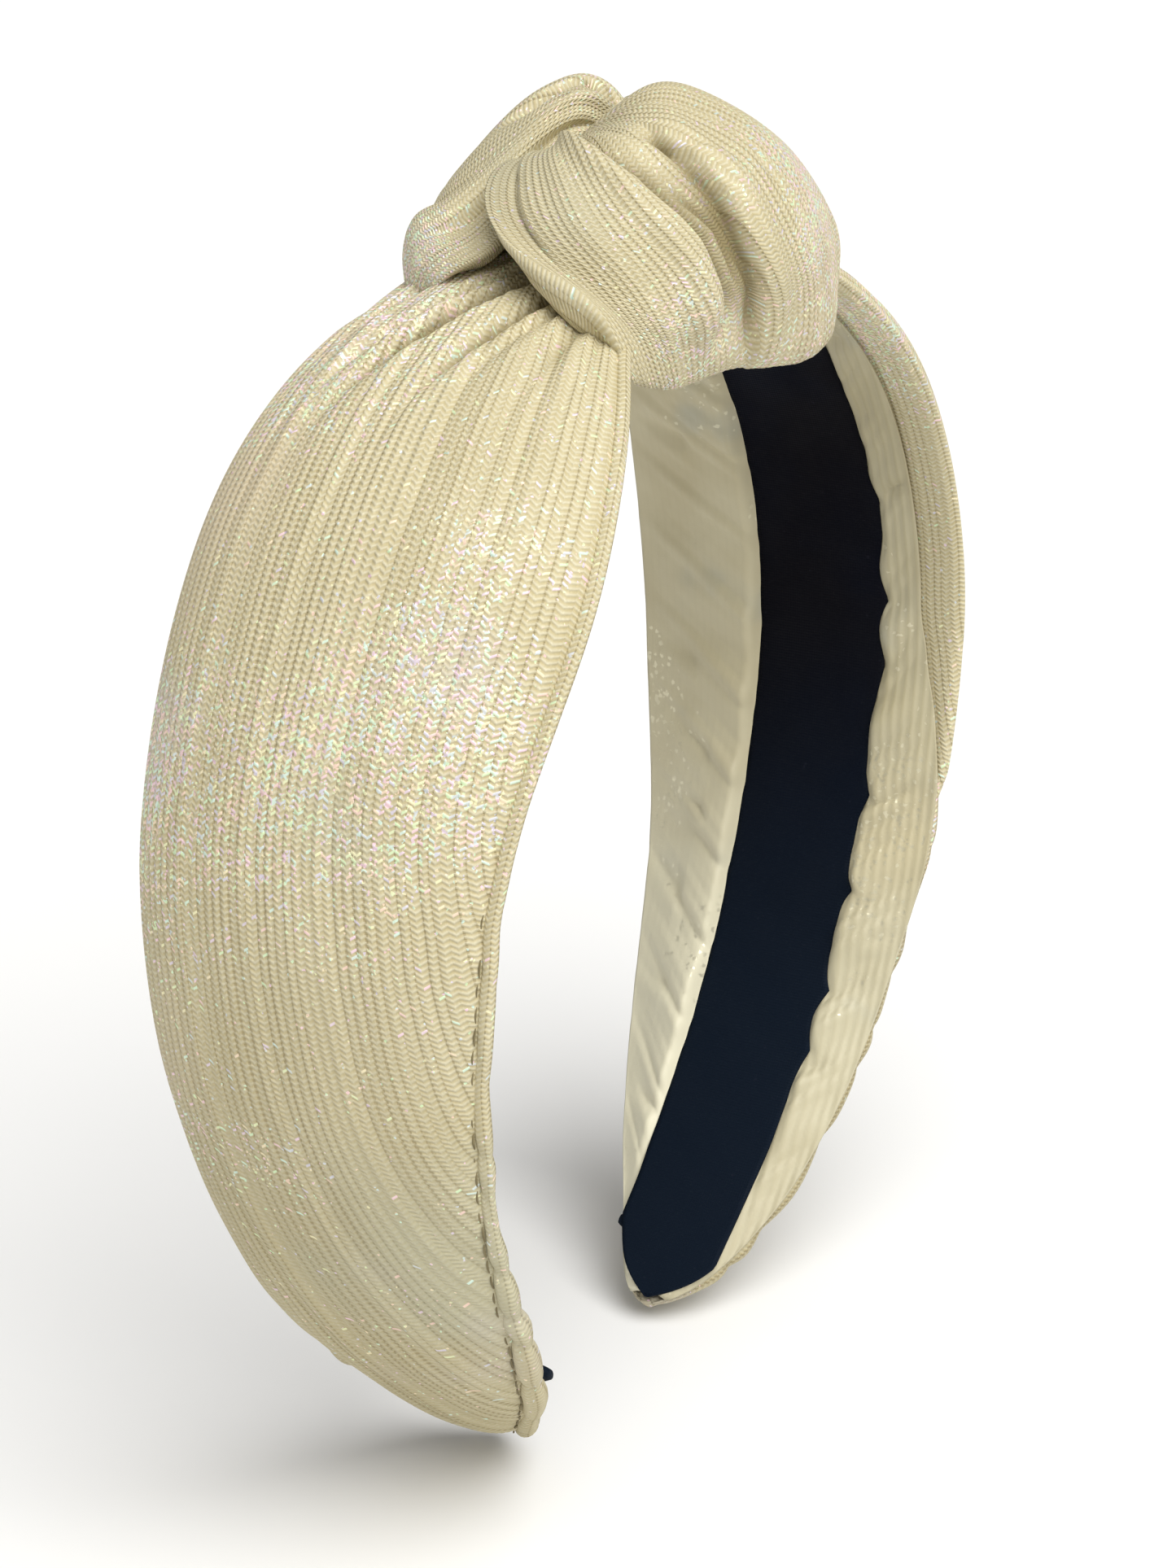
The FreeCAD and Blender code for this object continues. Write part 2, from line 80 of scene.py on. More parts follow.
# How far each wing reaches to the front and to the rear of the band's middle at chosen turns, before its tip
# is rounded. The knot pushes the left wing rearward and the right wing forward.
WING_TURNS = (8, 21, 34, 46, 59, 72, 85, 97, 107, 115, 123, 131, 138, 145)
FRONT_REACH = {
    1: (12.0, 15.5, 18.5, 20.8, 22.0, 22.4, 22.4, 21.6, 20.2, 18.2, 16.2, 13.3, 10.3, 8.5),
    -1: (12.0, 15.5, 21.8, 25.9, 27.3, 25.4, 22.8, 21.0, 19.2, 18.4, 17.8, 14.2, 9.8, 7.0),
}
REAR_REACH = {
    1: (12.0, 16.0, 20.0, 23.5, 26.0, 27.4, 27.6, 26.4, 23.8, 22.2, 20.0, 16.2, 12.3, 10.5),
    -1: (12.0, 16.0, 20.0, 22.6, 23.7, 24.1, 24.4, 24.4, 23.3, 22.0, 19.9, 16.6, 13.3, 11.0),
}
# How high the wing stands along its middle and along its edges, at the same turns.
MIDDLE_HEIGHTS = (4.2, 4.7, 7.0, 9.0, 9.7, 9.7, 9.7, 9.5, 9.1, 8.6, 7.7, 6.6, 5.6, 4.6)
EDGE_HEIGHTS = (2.0, 1.0, 0.7, 0.5, 0.4, 0.6, 1.2, 1.8, 2.2, 2.4, 2.5, 2.5, 2.3, 1.6)
# Where the tip's middle lies across the band, from which turn the tip rounds off and how blunt it is. Then
# the turns between which a wing runs, and the rows and columns of its skin's grid.
TIP_MIDDLE = 2.2
TIP_ROUND_TURN = 131.0
TIP_BLUNTNESS = 2.3
WING_START_TURN = 8.0
WING_END_TURN = 144.8
COVER_ROWS = 235
COVER_COLUMNS = 245
COVER_UNDER_COLUMNS = 48
# Half the wing's width where it is widest, the height of its underside over the hoop, and how far its rim
# stands outward of the edge heights.
WIDEST = 25.0
UNDER_HEIGHT = 3.05
RIM_LIFT = 0.5
# The turns over which ribs that fan out from the knot become ribs that follow the rear edge. Then how closely
# those stand, beside how they stand at the wing's middle. They open out towards the tip.
FAN_END_TURNS = (68, 92)
SPACING_TURNS = (75, 85, 95.6, 104.6, 114.7, 122.5, 131, 138, 145)
SPACINGS = (1.0, 1.0, 0.97, 0.91, 0.785, 0.69, 0.62, 0.56, 0.52)

# The rolled hems. Where the inner cloth laps over a roll, the roll moves outward and inward of the edge.
HEM_START_TURN = 16.0
HEM_WIDTH = 1.8
TIP_HEM_WIDTH = 3.0
WIDE_HEM_TURNS = (110, 125)
HEM_RIBS = 5
LAP_TURNS = (98, 108)
LAP_LIFT = 1.7
LAP_INSET = 0.7
# Where a seam lies under the wing and not on its edge, by side and by whether it is in front: how far in, the
# turns over which it moves in, and the turns over which it moves out again.
TUCKS = {
    (1, True): (6.4, (18, 34), (84, 106)),
    (-1, False): (2.6, (20, 40), (118, 136)),
}
# The puckers of a hem's roll, along the band.
PUCKER_PITCH = 9.5
# The running stitches beside each hem: the turns between which they run, in front and at the rear, and the
# threads' sizes.
THREAD_TURNS = {True: (88.0, 141.0), False: (60.0, 141.0)}
THREAD_PITCH = 2.8
THREAD_LENGTH = 2.2
THREAD_RADIUS = 0.15

# The cloth: how wide a rib is, how long a stitch, and how tall the ribs and the groups of ribs stand. Meshes
# keep cloth places in units of UV_SCALE.
RIB_PITCH = 1.2
STITCH_PITCH = 0.72
RIB_DEPTH = 0.05
GROUP_DEPTH = 0.12
UV_SCALE = 100.0
# What a flat inner strip had beyond its shown width, for its hem, and how thick its cloth is.
SEAM_ALLOWANCE = 2.0
STRIP_THICKNESS = 0.3

# The lining ribbon: its middle and half its width across the band at chosen turns.
RIBBON_TURNS = (0, 58, 75, 97, 110, 120, 128, 135, 140, 145)
RIBBON_MIDDLES = (-0.3, -0.3, -1.2, -1.1, -0.4, 0.1, 0.8, 1.5, 1.8, 1.9)
RIBBON_HALF_WIDTHS = (9.3, 9.1, 9.5, 9.4, 9.4, 9.3, 9.0, 8.5, 8.2, 8.0)
RIBBON_END_TURN = 144.75
RIBBON_END_ROUND = 4.2
RIBBON_HEIGHT = 0.5
RIBBON_THICKNESS = 0.45
SCALLOP_PITCH = 14.5
SCALLOP_DEPTH = 1.3
# The folded corner of each ribbon: where it starts and ends across the band, and its turn.
NUBS = {1: (5.0, 10.3, 139.0), -1: (-6.0, -14.4, 130.3)}


# ---------------- places and curves


def on_band(turn, height, across, side):
    """Points on the band, as an array whose last axis is x, y, z."""
    turn, height, across = np.broadcast_arrays(turn, height, across)
    angle = np.radians(turn)
    shift = np.where(turn > CROWN_END_TURN, SIDE_SHIFT, 0.0)
    radius = INNER_RADIUS + shift + height
    x = side * (radius * np.sin(angle) - shift)
    z = radius * np.cos(angle) - INNER_RADIUS
    return np.stack([x, across + 0.0 * x, z], axis=-1)


def along(turn):
    """Arc length from the top at the middle of the cloth, in millimetres."""
    crown = np.radians(np.minimum(turn, CROWN_END_TURN)) * (INNER_RADIUS + CLOTH_MIDDLE)
    lower = np.radians(np.maximum(turn - CROWN_END_TURN, 0)) * (INNER_RADIUS + SIDE_SHIFT + CLOTH_MIDDLE)
    return crown + lower


def even_turns(first, last, count):
    """Turns at even distances along the band."""
    fine = np.linspace(first, last, 2000)
    return np.interp(np.linspace(along(first), along(last), count), along(fine), fine)


def spline(xs, ys, x):
    """A natural cubic through the points, read at x. ys may hold points."""
    xs, ys = np.asarray(xs, float), np.asarray(ys, float)
    shape = ys.shape[1:]
    ys = ys.reshape(len(xs), -1)
    gaps, count = np.diff(xs), len(xs)
    system, right = np.eye(count), np.zeros_like(ys)
    for i in range(1, count - 1):
        system[i, i - 1 : i + 2] = gaps[i - 1], 2 * (gaps[i - 1] + gaps[i]), gaps[i]
        right[i] = 6 * ((ys[i + 1] - ys[i]) / gaps[i] - (ys[i] - ys[i - 1]) / gaps[i - 1])
    bend = np.linalg.solve(system, right)
    x = np.clip(np.asarray(x, float), xs[0], xs[-1])
    i = np.clip(np.searchsorted(xs, x) - 1, 0, count - 2)
    g = gaps[i][..., None]
    a, b = (xs[i + 1] - x)[..., None] / g, (x - xs[i])[..., None] / g
    curve = a * ys[i] + b * ys[i + 1] + ((a**3 - a) * bend[i] + (b**3 - b) * bend[i + 1]) * g**2 / 6
    return curve.reshape(x.shape + shape)


def smoothstep(low, high, x):
    """0 up to low and 1 from high on, with a smooth rise between. It falls where low is above high."""
    t = np.clip((x - low) / (high - low), 0, 1)
    return t * t * (3 - 2 * t)


def wobble(x, seed, longest, count=5):
    """A smooth, repeatable, wandering value between about -1 and 1."""
    random = np.random.default_rng(seed)
    total = 0.0
    for k in range(count):
        pitch = longest / (1 + 0.9 * k)
        total = total + np.sin(ROUND * (x / pitch + random.random())) / (1 + 0.5 * k)
    return total / 2.2


def tip_rounding(turn):
    """1 along the arm, falling to 0 in a blunt curve at the tip."""
    t = np.clip((turn - TIP_ROUND_TURN) / (WING_END_TURN + 0.2 - TIP_ROUND_TURN), 0, 1)
    return np.sqrt(1 - t**TIP_BLUNTNESS)


def wing_edge(turn, front, side):
    """Where a wing's edge lies across the band."""
    reach = spline(WING_TURNS, (FRONT_REACH if front else REAR_REACH)[side], turn)
    edge = -reach if front else reach
    return TIP_MIDDLE * (1 - tip_rounding(turn)) + edge * tip_rounding(turn)


def edge_height(turn):
    """How high a wing's edge stands."""
    return spline(WING_TURNS, EDGE_HEIGHTS, turn)


def middle_height(turn):
    """How high a wing's middle stands."""
    return spline(WING_TURNS, MIDDLE_HEIGHTS, turn) * (0.6 + 0.4 * tip_rounding(turn))


def hem_width(turn, side):
    """How wide the rolled hem is, between its seam and the wing's edge."""
    wide = HEM_WIDTH + (TIP_HEM_WIDTH - HEM_WIDTH) * smoothstep(*WIDE_HEM_TURNS, turn)
    return np.minimum(wide, 0.25 * (wing_edge(turn, False, side) - wing_edge(turn, True, side)) + 0.2)


def turned_under(turn, front, side):
    """How far the outer cloth turns under the wing before its seam."""
    if (side, front) not in TUCKS:
        return 0.0 * turn
    far, (start, full), (last, end) = TUCKS[side, front]
    return far * smoothstep(end, last, turn) * smoothstep(start, full, turn)


def lapped(turn, front, side):
    """How far the inner cloth laps over a hem and hides it, from 0 to 1. It does so on the left arm only."""
    if side < 0:
        return 0.0
    return smoothstep(*LAP_TURNS, turn) if front else 1.0


# ---------------- meshes


def make_object(name, vertices, faces, uvs=None, hollow=None):
    """A smooth mesh object from millimetres. uvs has an (across, along) pair for each face corner, and hollow
    says how deep in a fold each vertex lies, from 0 to 1, which the cloth darkens as painted shade."""
    mesh = bpy.data.meshes.new(name)
    mesh.from_pydata((np.asarray(vertices) * MM).tolist(), [], faces)
    if uvs is not None:
        layer = mesh.uv_layers.new(name="cloth")
        layer.data.foreach_set("uv", np.asarray(uvs, np.float32).ravel())
    if hollow is not None:
        depth = mesh.attributes.new("hollow", "FLOAT", "POINT")
        depth.data.foreach_set("value", np.asarray(hollow, np.float32))
    mesh.validate()
    mesh.update()
    mesh.polygons.foreach_set("use_smooth", [True] * len(mesh.polygons))
    piece = bpy.data.objects.new(name, mesh)
    bpy.context.scene.collection.objects.link(piece)
    return piece


def quads(rows, columns, base=0):
    """The faces between neighbouring rings of points: each one's row, its column and its corners' numbers."""
    for i in range(rows - 1):
        near, far = base + i * columns, base + (i + 1) * columns
        for j in range(columns):
            k = (j + 1) % columns
            yield i, j, [near + j, near + k, far + k, far + j]


def tube(name, rings, cloth, flip=False, hollow=None):
    """A closed skin over rings of points, of shape (rows, columns, 3). cloth has shape (rows, columns + 1, 2)
    and holds the cloth's own millimetres across and along. Each end closes on its ring's middle."""
    rows, columns = rings.shape[:2]
    vertices = np.concatenate([rings.reshape(-1, 3), rings[[0, -1]].mean(axis=1)])
    faces, uvs = [], []
    for i, j, corners in quads(rows, columns):
        coords = [cloth[i, j], cloth[i, j + 1], cloth[i + 1, j + 1], cloth[i + 1, j]]
        faces.append(corners[::-1] if flip else corners)
        uvs.extend(coords[::-1] if flip else coords)
    for row, middle, order in ((0, rows * columns, flip), (rows - 1, rows * columns + 1, not flip)):
        for j in range(columns):
            k = (j + 1) % columns
            corners = [row * columns + k, row * columns + j, middle]
            coords = [cloth[row, j + 1], cloth[row, j], cloth[row, j]]
            faces.append(corners[::-1] if order else corners)
            uvs.extend(coords[::-1] if order else coords)
    if hollow is not None:
        hollow = np.concatenate([hollow.ravel(), [0, 0]])
    return make_object(name, vertices, faces, np.array(uvs) / UV_SCALE, hollow)


def normals(grid):
    """Unit normals of a grid of points."""
    across = np.gradient(grid, axis=1)
    down = np.gradient(grid, axis=0)
    n = np.cross(across, down)
    return n / np.maximum(np.linalg.norm(n, axis=-1, keepdims=True), 1e-9)


def shell(name, grid, thickness, cloth, flip=False):
    """A sheet of cloth, closed round its edge, from a grid of points on one face. The other face is below the
    grid's normals, or above them where the thickness is negative."""
    other = (grid - normals(grid) * thickness)[:, ::-1]
    rings = np.concatenate([grid, other], axis=1)
    end = cloth[:, :1]
    coords = np.concatenate([cloth, cloth[:, ::-1], end], axis=1)
    return tube(name, rings, coords, flip)


# ---------------- wings


def rib_coordinate(turn, across, side):
    """Which rib a place lies on, in millimetres of cloth. The ribs fan out from the knot, run level along the
    wing, and below it follow the rear edge while they spread and run out into the front hem."""
    front, rear = wing_edge(turn, True, side), wing_edge(turn, False, side)
    width = np.maximum((rear - front) / 2, 6.0)
    fanned = (across - (rear + front) / 2) * WIDEST / width
    swept = WIDEST - (rear - across) * spline(SPACING_TURNS, SPACINGS, turn)
    share = smoothstep(*FAN_END_TURNS, turn)
    return fanned * (1 - share) + swept * share


def rib_height(cloth_across, cloth_along, seed, gather=1.0):
    """The pleated cloth's ribs: fine ridges, grouped unevenly, and taller where the cloth is gathered."""
    drift = 0.5 * wobble(cloth_across, seed, 23.0) + 0.15 * wobble(cloth_along, seed + 1, 90.0)
    fine = np.cos(ROUND * (cloth_across / RIB_PITCH + drift))
    broad = wobble(cloth_across + 0.4 * wobble(cloth_along, seed + 2, 70.0), seed + 3, 9.0, 4)
    return RIB_DEPTH * fine * np.sqrt(gather) + GROUP_DEPTH * broad * gather


# Creases at the neck: (turn, across) where each starts and ends, its depth and its width.
CREASES = (
    ((17, -4.0), (47, 10.5), 2.4, 1.1),
    ((20, 1.0), (46, 15.0), 1.3, 0.9),
    ((20, -8.0), (48, 0.5), 1.7, 1.0),
    ((22, -12.5), (43, -13.8), 1.0, 1.2),
    ((14, 5.0), (40, 18.5), 1.5, 1.1),
    ((22, -10.0), (40, -6.0), 0.9, 0.8),
    ((24, -14.5), (38, -18.5), 0.7, 0.9),
    ((18, -1.5), (36, 5.5), 1.0, 0.7),
)


def crease_depth(turn, across):
    """How far the gathers sink the cloth at each place."""
    depth = 0.0
    for (turn_a, across_a), (turn_b, across_b), deep, wide in CREASES:
        t = (turn - turn_a) / (turn_b - turn_a)
        line = across_a + (across_b - across_a) * t + 0.8 * np.sin(2.2 * t)
        fade = smoothstep(1.1, 0.25, t) * smoothstep(-0.6, 0.0, t)
        away = (across - line) / wide
        groove = np.exp(-np.abs(away) ** 1.4)
        depth = depth + deep * fade * (groove - 0.2 * np.exp(-(((np.abs(away) - 2.1) / 1.1) ** 2)))
    return depth


def cover_top(turn, middle, half, side):
    """The outer face of a wing: its points, its cloth places and how deep each point lies in a gather, which
    the cloth darkens as painted shade.
    """
    v = np.linspace(-1, 1, COVER_COLUMNS)[None, :]
    v = np.sign(v) * (1 - (1 - np.abs(v)) ** 1.15)
    across = middle + half * v
    bulge = (1 - np.abs(v) ** 2.25) ** 0.66
    edge = edge_height(turn) + RIM_LIFT
    height = edge + (middle_height(turn) - edge) * bulge
    cloth_across = rib_coordinate(turn, across, side)
    cloth_along = along(turn) + 0.0 * across
    inside = smoothstep(1.0, 0.93, np.abs(v))
    seed = 11 if side > 0 else 5
    gather = 1 + 1.3 * smoothstep(62, 36, turn) * smoothstep(20, 34, turn) + 1.8 * smoothstep(98, 122, turn)
    gathered = inside * crease_depth(turn, across)
    height = height + inside * rib_height(cloth_across, cloth_along, seed, gather) - gathered
    swell = wobble(cloth_along + 2.0 * v, seed + 7, 60.0, 3) * smoothstep(30, 60, turn)
    points = on_band(turn, height + 0.35 * inside * swell, across, side)
    return points, np.stack([cloth_across, cloth_along], axis=-1), np.clip(gathered / 1.6, 0, 1)


def cover_underside(turn, middle, half, side):
    """The face of a wing towards the head: its points and its cloth places."""
    u = np.linspace(1, -1, COVER_UNDER_COLUMNS + 2)[None, 1:-1]
    u = np.sign(u) * (1 - (1 - np.abs(u)) ** 1.6)
    across = middle + half * u
    inset = half * (1 - np.abs(u))
    tuck = np.where(u < 0, turned_under(turn, True, side), turned_under(turn, False, side)) + 0.6
    belly = np.sin(math.pi * np.clip(inset / tuck, 0, 1) ** 0.6)
    lifted = smoothstep(0, 2.6, inset - tuck)
    sag = 0.45 * belly * np.clip(tuck / 3, 0.3, 1)
    rim = edge_height(turn) + RIM_LIFT - sag - 0.5 * smoothstep(0, 1, inset)
    height = rim * (1 - lifted) + np.minimum(UNDER_HEIGHT, middle_height(turn) - 1.2) * lifted
    cloth = np.stack([rib_coordinate(turn, across, side), along(turn) + 0.0 * across], axis=-1)
    return on_band(turn, height, across, side), cloth


def wing_cover(side):
    """The pad with its outer cloth: one closed skin, ribbed outside and turned under at its edges. It leaves
    room for a hem where the seam lies on the edge."""
    turn = even_turns(WING_START_TURN, WING_END_TURN, COVER_ROWS)[:, None]
    room = {}
    for front in (True, False):
        on_edge = smoothstep(1.5, 0, turned_under(turn, front, side))
        room[front] = 0.75 * hem_width(turn, side) * on_edge
    front, rear = wing_edge(turn, True, side) + room[True], wing_edge(turn, False, side) - room[False]
    middle, half = (front + rear) / 2, (rear - front) / 2
    top, top_cloth, gathered = cover_top(turn, middle, half, side)
    bottom, bottom_cloth = cover_underside(turn, middle, half, side)
    rings = np.concatenate([top, bottom], axis=1)
    cloth = np.concatenate([top_cloth, bottom_cloth, top_cloth[:, :1]], axis=1)
    # How deep each point lies in a gather, which the cloth darkens as painted shade; none on the underside.
    hollow = np.concatenate([gathered, 0.0 * bottom[..., 0]], axis=1)
    arm = SIDE_NAMES[side]
    piece = tube(f"wing_cover_{arm}", rings, cloth, side > 0, hollow)
    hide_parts(f"outer_fabric_{arm}", f"sponge_pad_{arm}", f"gathered_neck_{arm}")
    return piece


def hem_place(turn, front, side):
    """The across and height of the middle of a hem's roll, and the roll's width, with its puckers."""
    inward = 1 if front else -1
    seed = 31 + 7 * front + 13 * (side > 0)
    pucker = smoothstep(60, 125, turn) * tip_rounding(turn)
    distance = along(turn)
    tucked = turned_under(turn, front, side)
    wide = hem_width(turn, side) * (1 - 0.65 * np.clip(tucked / 2, 0, 1))
    hidden = lapped(turn, front, side)
    inset = wide / 2 + tucked + LAP_INSET * hidden * tip_rounding(turn)
    across = wing_edge(turn, front, side) + inward * inset + 0.3 * pucker * wobble(distance, seed, 34.0, 4)
    height = edge_height(turn) + 0.25 * pucker * wobble(distance, seed + 1, 26.0, 4)
    height = height + (0.5 if side < 0 else -0.2) * np.clip(tucked, 0, 1)
    height = height + LAP_LIFT * hidden * tip_rounding(turn)
    return across, height, wide


def hem(side, front):
    """A rolled hem, pulled into puckers by its stitches towards the tip."""
    rows, columns = 330, 18
    turn = even_turns(HEM_START_TURN, WING_END_TURN, rows)[:, None]
    across, height, wide = hem_place(turn, front, side)
    angle = np.linspace(0, ROUND, columns, endpoint=False)[None, :]
    distance = along(turn)
    seed = 61 if front else 67
    pucker = smoothstep(80, 122, turn)
    phase = distance / PUCKER_PITCH + 0.5 * wobble(distance, seed, 60.0)
    phase = phase + 0.16 * np.cos(angle) * (1 if front else -1)
    leaf = np.abs(np.sin(math.pi * phase)) ** 0.8
    thin = np.minimum(tip_rounding(turn) + 0.3, 1)
    across_half = 0.5 * wide * (1 + pucker * (0.42 * leaf - 0.25)) * thin
    tall = (0.42 * wide + 0.25) * (1 + pucker * (0.6 * leaf - 0.4)) * thin
    rings = on_band(turn, height + tall * np.sin(angle), across + across_half * np.cos(angle), side)
    round_it = np.linspace(0, HEM_RIBS * RIB_PITCH, columns + 1)[None, :]
    cloth = np.stack(np.broadcast_arrays(round_it, distance), axis=-1)
    edge, arm = EDGE_NAMES[front], SIDE_NAMES[side]
    piece = tube(f"{edge}_hem_roll_{arm}", rings, cloth, flip=side > 0)
    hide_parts(f"{edge}_hem_{arm}")
    return piece


def stitches(side, front):
    """Short threads in the groove between a hem and the panel, each dipping into the cloth at its ends."""
    rings_per, columns = 7, 6
    inward = 1 if front else -1
    vertices, faces = [], []
    t = np.linspace(0, 1, rings_per)[:, None]
    angle = np.linspace(0, ROUND, columns, endpoint=False)[None, :]
    arch = np.sin(math.pi * t)
    thick = THREAD_RADIUS * (0.55 + 0.45 * arch)
    fine = np.linspace(40, 145, 900)
    first_turn, last_turn = THREAD_TURNS[front]
    for n, start in enumerate(np.arange(along(first_turn), along(last_turn), THREAD_PITCH)):
        turn = np.interp(start + t * THREAD_LENGTH, along(fine), fine)
        tucked = float(turned_under(turn[3, 0], front, side))
        # No thread shows along the left arm's tucked seam, nor where the right arm's seam turns under.
        if tucked > 0.2 and (side > 0 or tucked < 2.0):
            continue
        across, height, wide = hem_place(turn, front, side)
        across = across + inward * 0.42 * wide + 0.1 * math.sin(n * 2.4)
        level = height + (0.30 * wide + 0.5 + 0.14 * arch) * (-1 if tucked > 1 else 1)
        ring = on_band(turn, level + thick * np.sin(angle), across + thick * np.cos(angle), side)
        base = len(vertices)
        vertices.extend(ring.reshape(-1, 3))
        for _, _, corners in quads(rings_per, columns, base):
            faces.append(corners[::-1] if side > 0 else corners)
        first = [base + j for j in range(columns)]
        last = [base + (rings_per - 1) * columns + j for j in range(columns)]
        faces.append(first if side > 0 else first[::-1])
        faces.append(last[::-1] if side > 0 else last)
    edge, arm = EDGE_NAMES[front], SIDE_NAMES[side]
    piece = make_object(f"{edge}_seam_thread_{arm}", vertices, faces)
    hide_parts(f"{edge}_stitches_{arm}")
    return piece


# ---------------- inner side


def ribbon_edge(turn, front, side):
    """Where the ribbon's edge lies. Its front edge is scalloped where the cloth's gathers lap over it."""
    middle = spline(RIBBON_TURNS, RIBBON_MIDDLES, turn)
    half = spline(RIBBON_TURNS, RIBBON_HALF_WIDTHS, turn)
    if not front:
        edge = middle + half + 0.12 * wobble(along(turn), 3 + side, 40.0)
        return np.minimum(edge, wing_edge(turn, False, side) - 0.7)
    phase = along(turn) / SCALLOP_PITCH + 0.35 * wobble(along(turn), 17 + side, 60.0) + 0.15
    scallop = SCALLOP_DEPTH * (np.abs(np.sin(math.pi * phase)) ** 0.9 - 0.55)
    edge = middle - half + scallop * smoothstep(58, 76, turn) * smoothstep(134, 118, turn)
    return np.maximum(edge, wing_edge(turn, True, side) + 0.7 - 0.8 * smoothstep(134, 142, turn))


def strip_creases(distance, out, reach, seed):
    """Sharp little folds that run on the slant across an inner strip, at uneven distances."""
    random = np.random.default_rng(seed)
    depth, place = 0.0, 40.0
    while place < 185:
        place = place + 7.0 + 13.0 * random.random()
        slant = 0.25 + 0.45 * random.random()
        start = reach * 0.65 * random.random()
        long = reach * (0.4 + 0.5 * random.random())
        deep, wide = 0.2 + 0.7 * random.random(), 0.9 + 1.3 * random.random()
        away = (distance - place + slant * (out - start)) / wide
        begun = smoothstep(start - 1.0, start + 1.2, out)
        ended = smoothstep(start + long + 1.5, start + long * 0.6, out)
        groove = np.exp(-np.abs(away) ** 1.5) - 0.5 * np.exp(-((away - 1.9) ** 2))
        depth = depth + deep * (begun * ended) * groove
    return depth


def inner_strip(side, front):
    """The inner cloth between the ribbon and one hem: soft, full and creased on the slant. Beside the piece
    come the flat cloth's greatest width, its mean width and its length."""
    rows, columns = 300, 56
    sign = -1 if front else 1
    turn = even_turns(HEM_START_TURN, WING_END_TURN - 0.5, rows)[:, None]
    under_ribbon = ribbon_edge(turn, front, side) - sign * 1.8
    across, _, wide = hem_place(turn, front, side)
    tucked = np.clip(turned_under(turn, front, side), 0, 1)
    outer = across + sign * (0.1 * wide + 0.5 * tucked)
    outer = outer + (wing_edge(turn, front, side) - 0.25 * sign - outer) * lapped(turn, front, side)
    edge = edge_height(turn) - 0.5 * tucked
    reach = np.maximum(sign * (outer - under_ribbon), 0.3)
    under_ribbon = outer - sign * reach
    t = np.linspace(0, 1, columns)[None, :]
    across = under_ribbon + sign * reach * t
    distance = along(turn) + 0.0 * t
    seed = 81 + 5 * front + side
    out = t * reach
    room = smoothstep(3, 11, reach)
    full = smoothstep(1.4, 3.2, out) * (1 - t**2.5)
    slant = distance + (4 if front else 8) * t
    soft = 0.6 * wobble(slant, seed, 29.0, 4) + 0.5 * wobble(slant * 1.3 + 10 * t, seed + 1, 15.0, 4)
    level = 0.75 + (edge - 0.75) * smoothstep(0.15, 1, t)
    fold = strip_creases(distance, out, reach, seed + 3)
    height = level + room * full * (soft + 1.9 * fold - (1.6 if front else 2.4) * (1 - 0.5 * t))
    grid = on_band(turn, height, across, side)
    cloth = np.stack([across, distance], axis=-1)
    outward = (side > 0) != front
    thickness = -STRIP_THICKNESS if outward else STRIP_THICKNESS
    name = f"inner_cloth_{EDGE_NAMES[front]}_{SIDE_NAMES[side]}"
    piece = shell(name, grid, thickness, cloth, flip=not outward)
    widths = reach + SEAM_ALLOWANCE
    return piece, float(np.max(widths)), float(np.mean(widths)), float(distance[-1, 0] - distance[0, 0])


def ribbon(side):
    """One half of the lining ribbon, from the middle of the crown to its rounded end at the tip."""
    rows, columns = 250, 25
    turn = even_turns(0.0, RIBBON_END_TURN, rows)[:, None]
    front, rear = ribbon_edge(turn, True, side), ribbon_edge(turn, False, side)
    middle = (front + rear) / 2
    end = np.clip((turn - (RIBBON_END_TURN - RIBBON_END_ROUND)) / (RIBBON_END_ROUND + 0.05), 0, 1)
    shrink = (1 - end**3.2) ** 0.5
    v = np.linspace(-1, 1, columns)[None, :]
    half = (rear - front) / 2 * np.maximum(shrink, 0.02)
    across = middle + half * v
    distance = along(turn)
    ripple = 0.07 * wobble(distance + 5 * v, 91 + side, 28.0) * smoothstep(20, 40, turn)
    height = RIBBON_HEIGHT + ripple * (1 - v**4)
    grid = on_band(turn, height, across, side)
    cloth = np.stack([across, distance + 0.0 * across], axis=-1)
    arm = SIDE_NAMES[side]
    piece = shell(f"ribbon_{arm}", grid, -side * RIBBON_THICKNESS, cloth, flip=side < 0)
    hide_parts(f"lining_ribbon_{arm}", "lining_ribbon_crown")
    return piece


def ribbon_end(side):
    """The ribbon's folded corner, which stands out past the wing's edge as a small dark nub."""
    rows, columns = 15, 20
    t = np.linspace(0, 1, rows)[:, None]
    angle = np.linspace(0, ROUND, columns, endpoint=False)[None, :]
    shape = np.sin(math.pi * (0.06 + 0.88 * t)) ** 0.45
    first, last, at = NUBS[side]
    across = first + (last - first) * t + 0.0 * angle
    # The right arm's corner is larger and droops towards the head.
    larger = side < 0
    turn = at + (0.9 + 0.4 * larger) * shape * np.cos(angle) * (1 - 0.15 * t)
    height = 0.7 + (0.7 + 0.5 * larger) * shape * np.sin(angle) - 0.9 * t * larger
    rings = on_band(turn, height, across, side)
    cloth = np.stack(np.broadcast_arrays(np.linspace(0, 9, columns + 1)[None, :], 6 * t), axis=-1)
    arm = SIDE_NAMES[side]
    piece = tube(f"ribbon_fold_{arm}", rings, cloth, flip=(side < 0) == (last < first))
    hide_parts(f"ribbon_tip_{arm}")
    return piece


# ---------------- knot

# How much cloth lies between two neighbouring ribs of a wrap, in millimetres.
KNOT_GATHER = 12.4
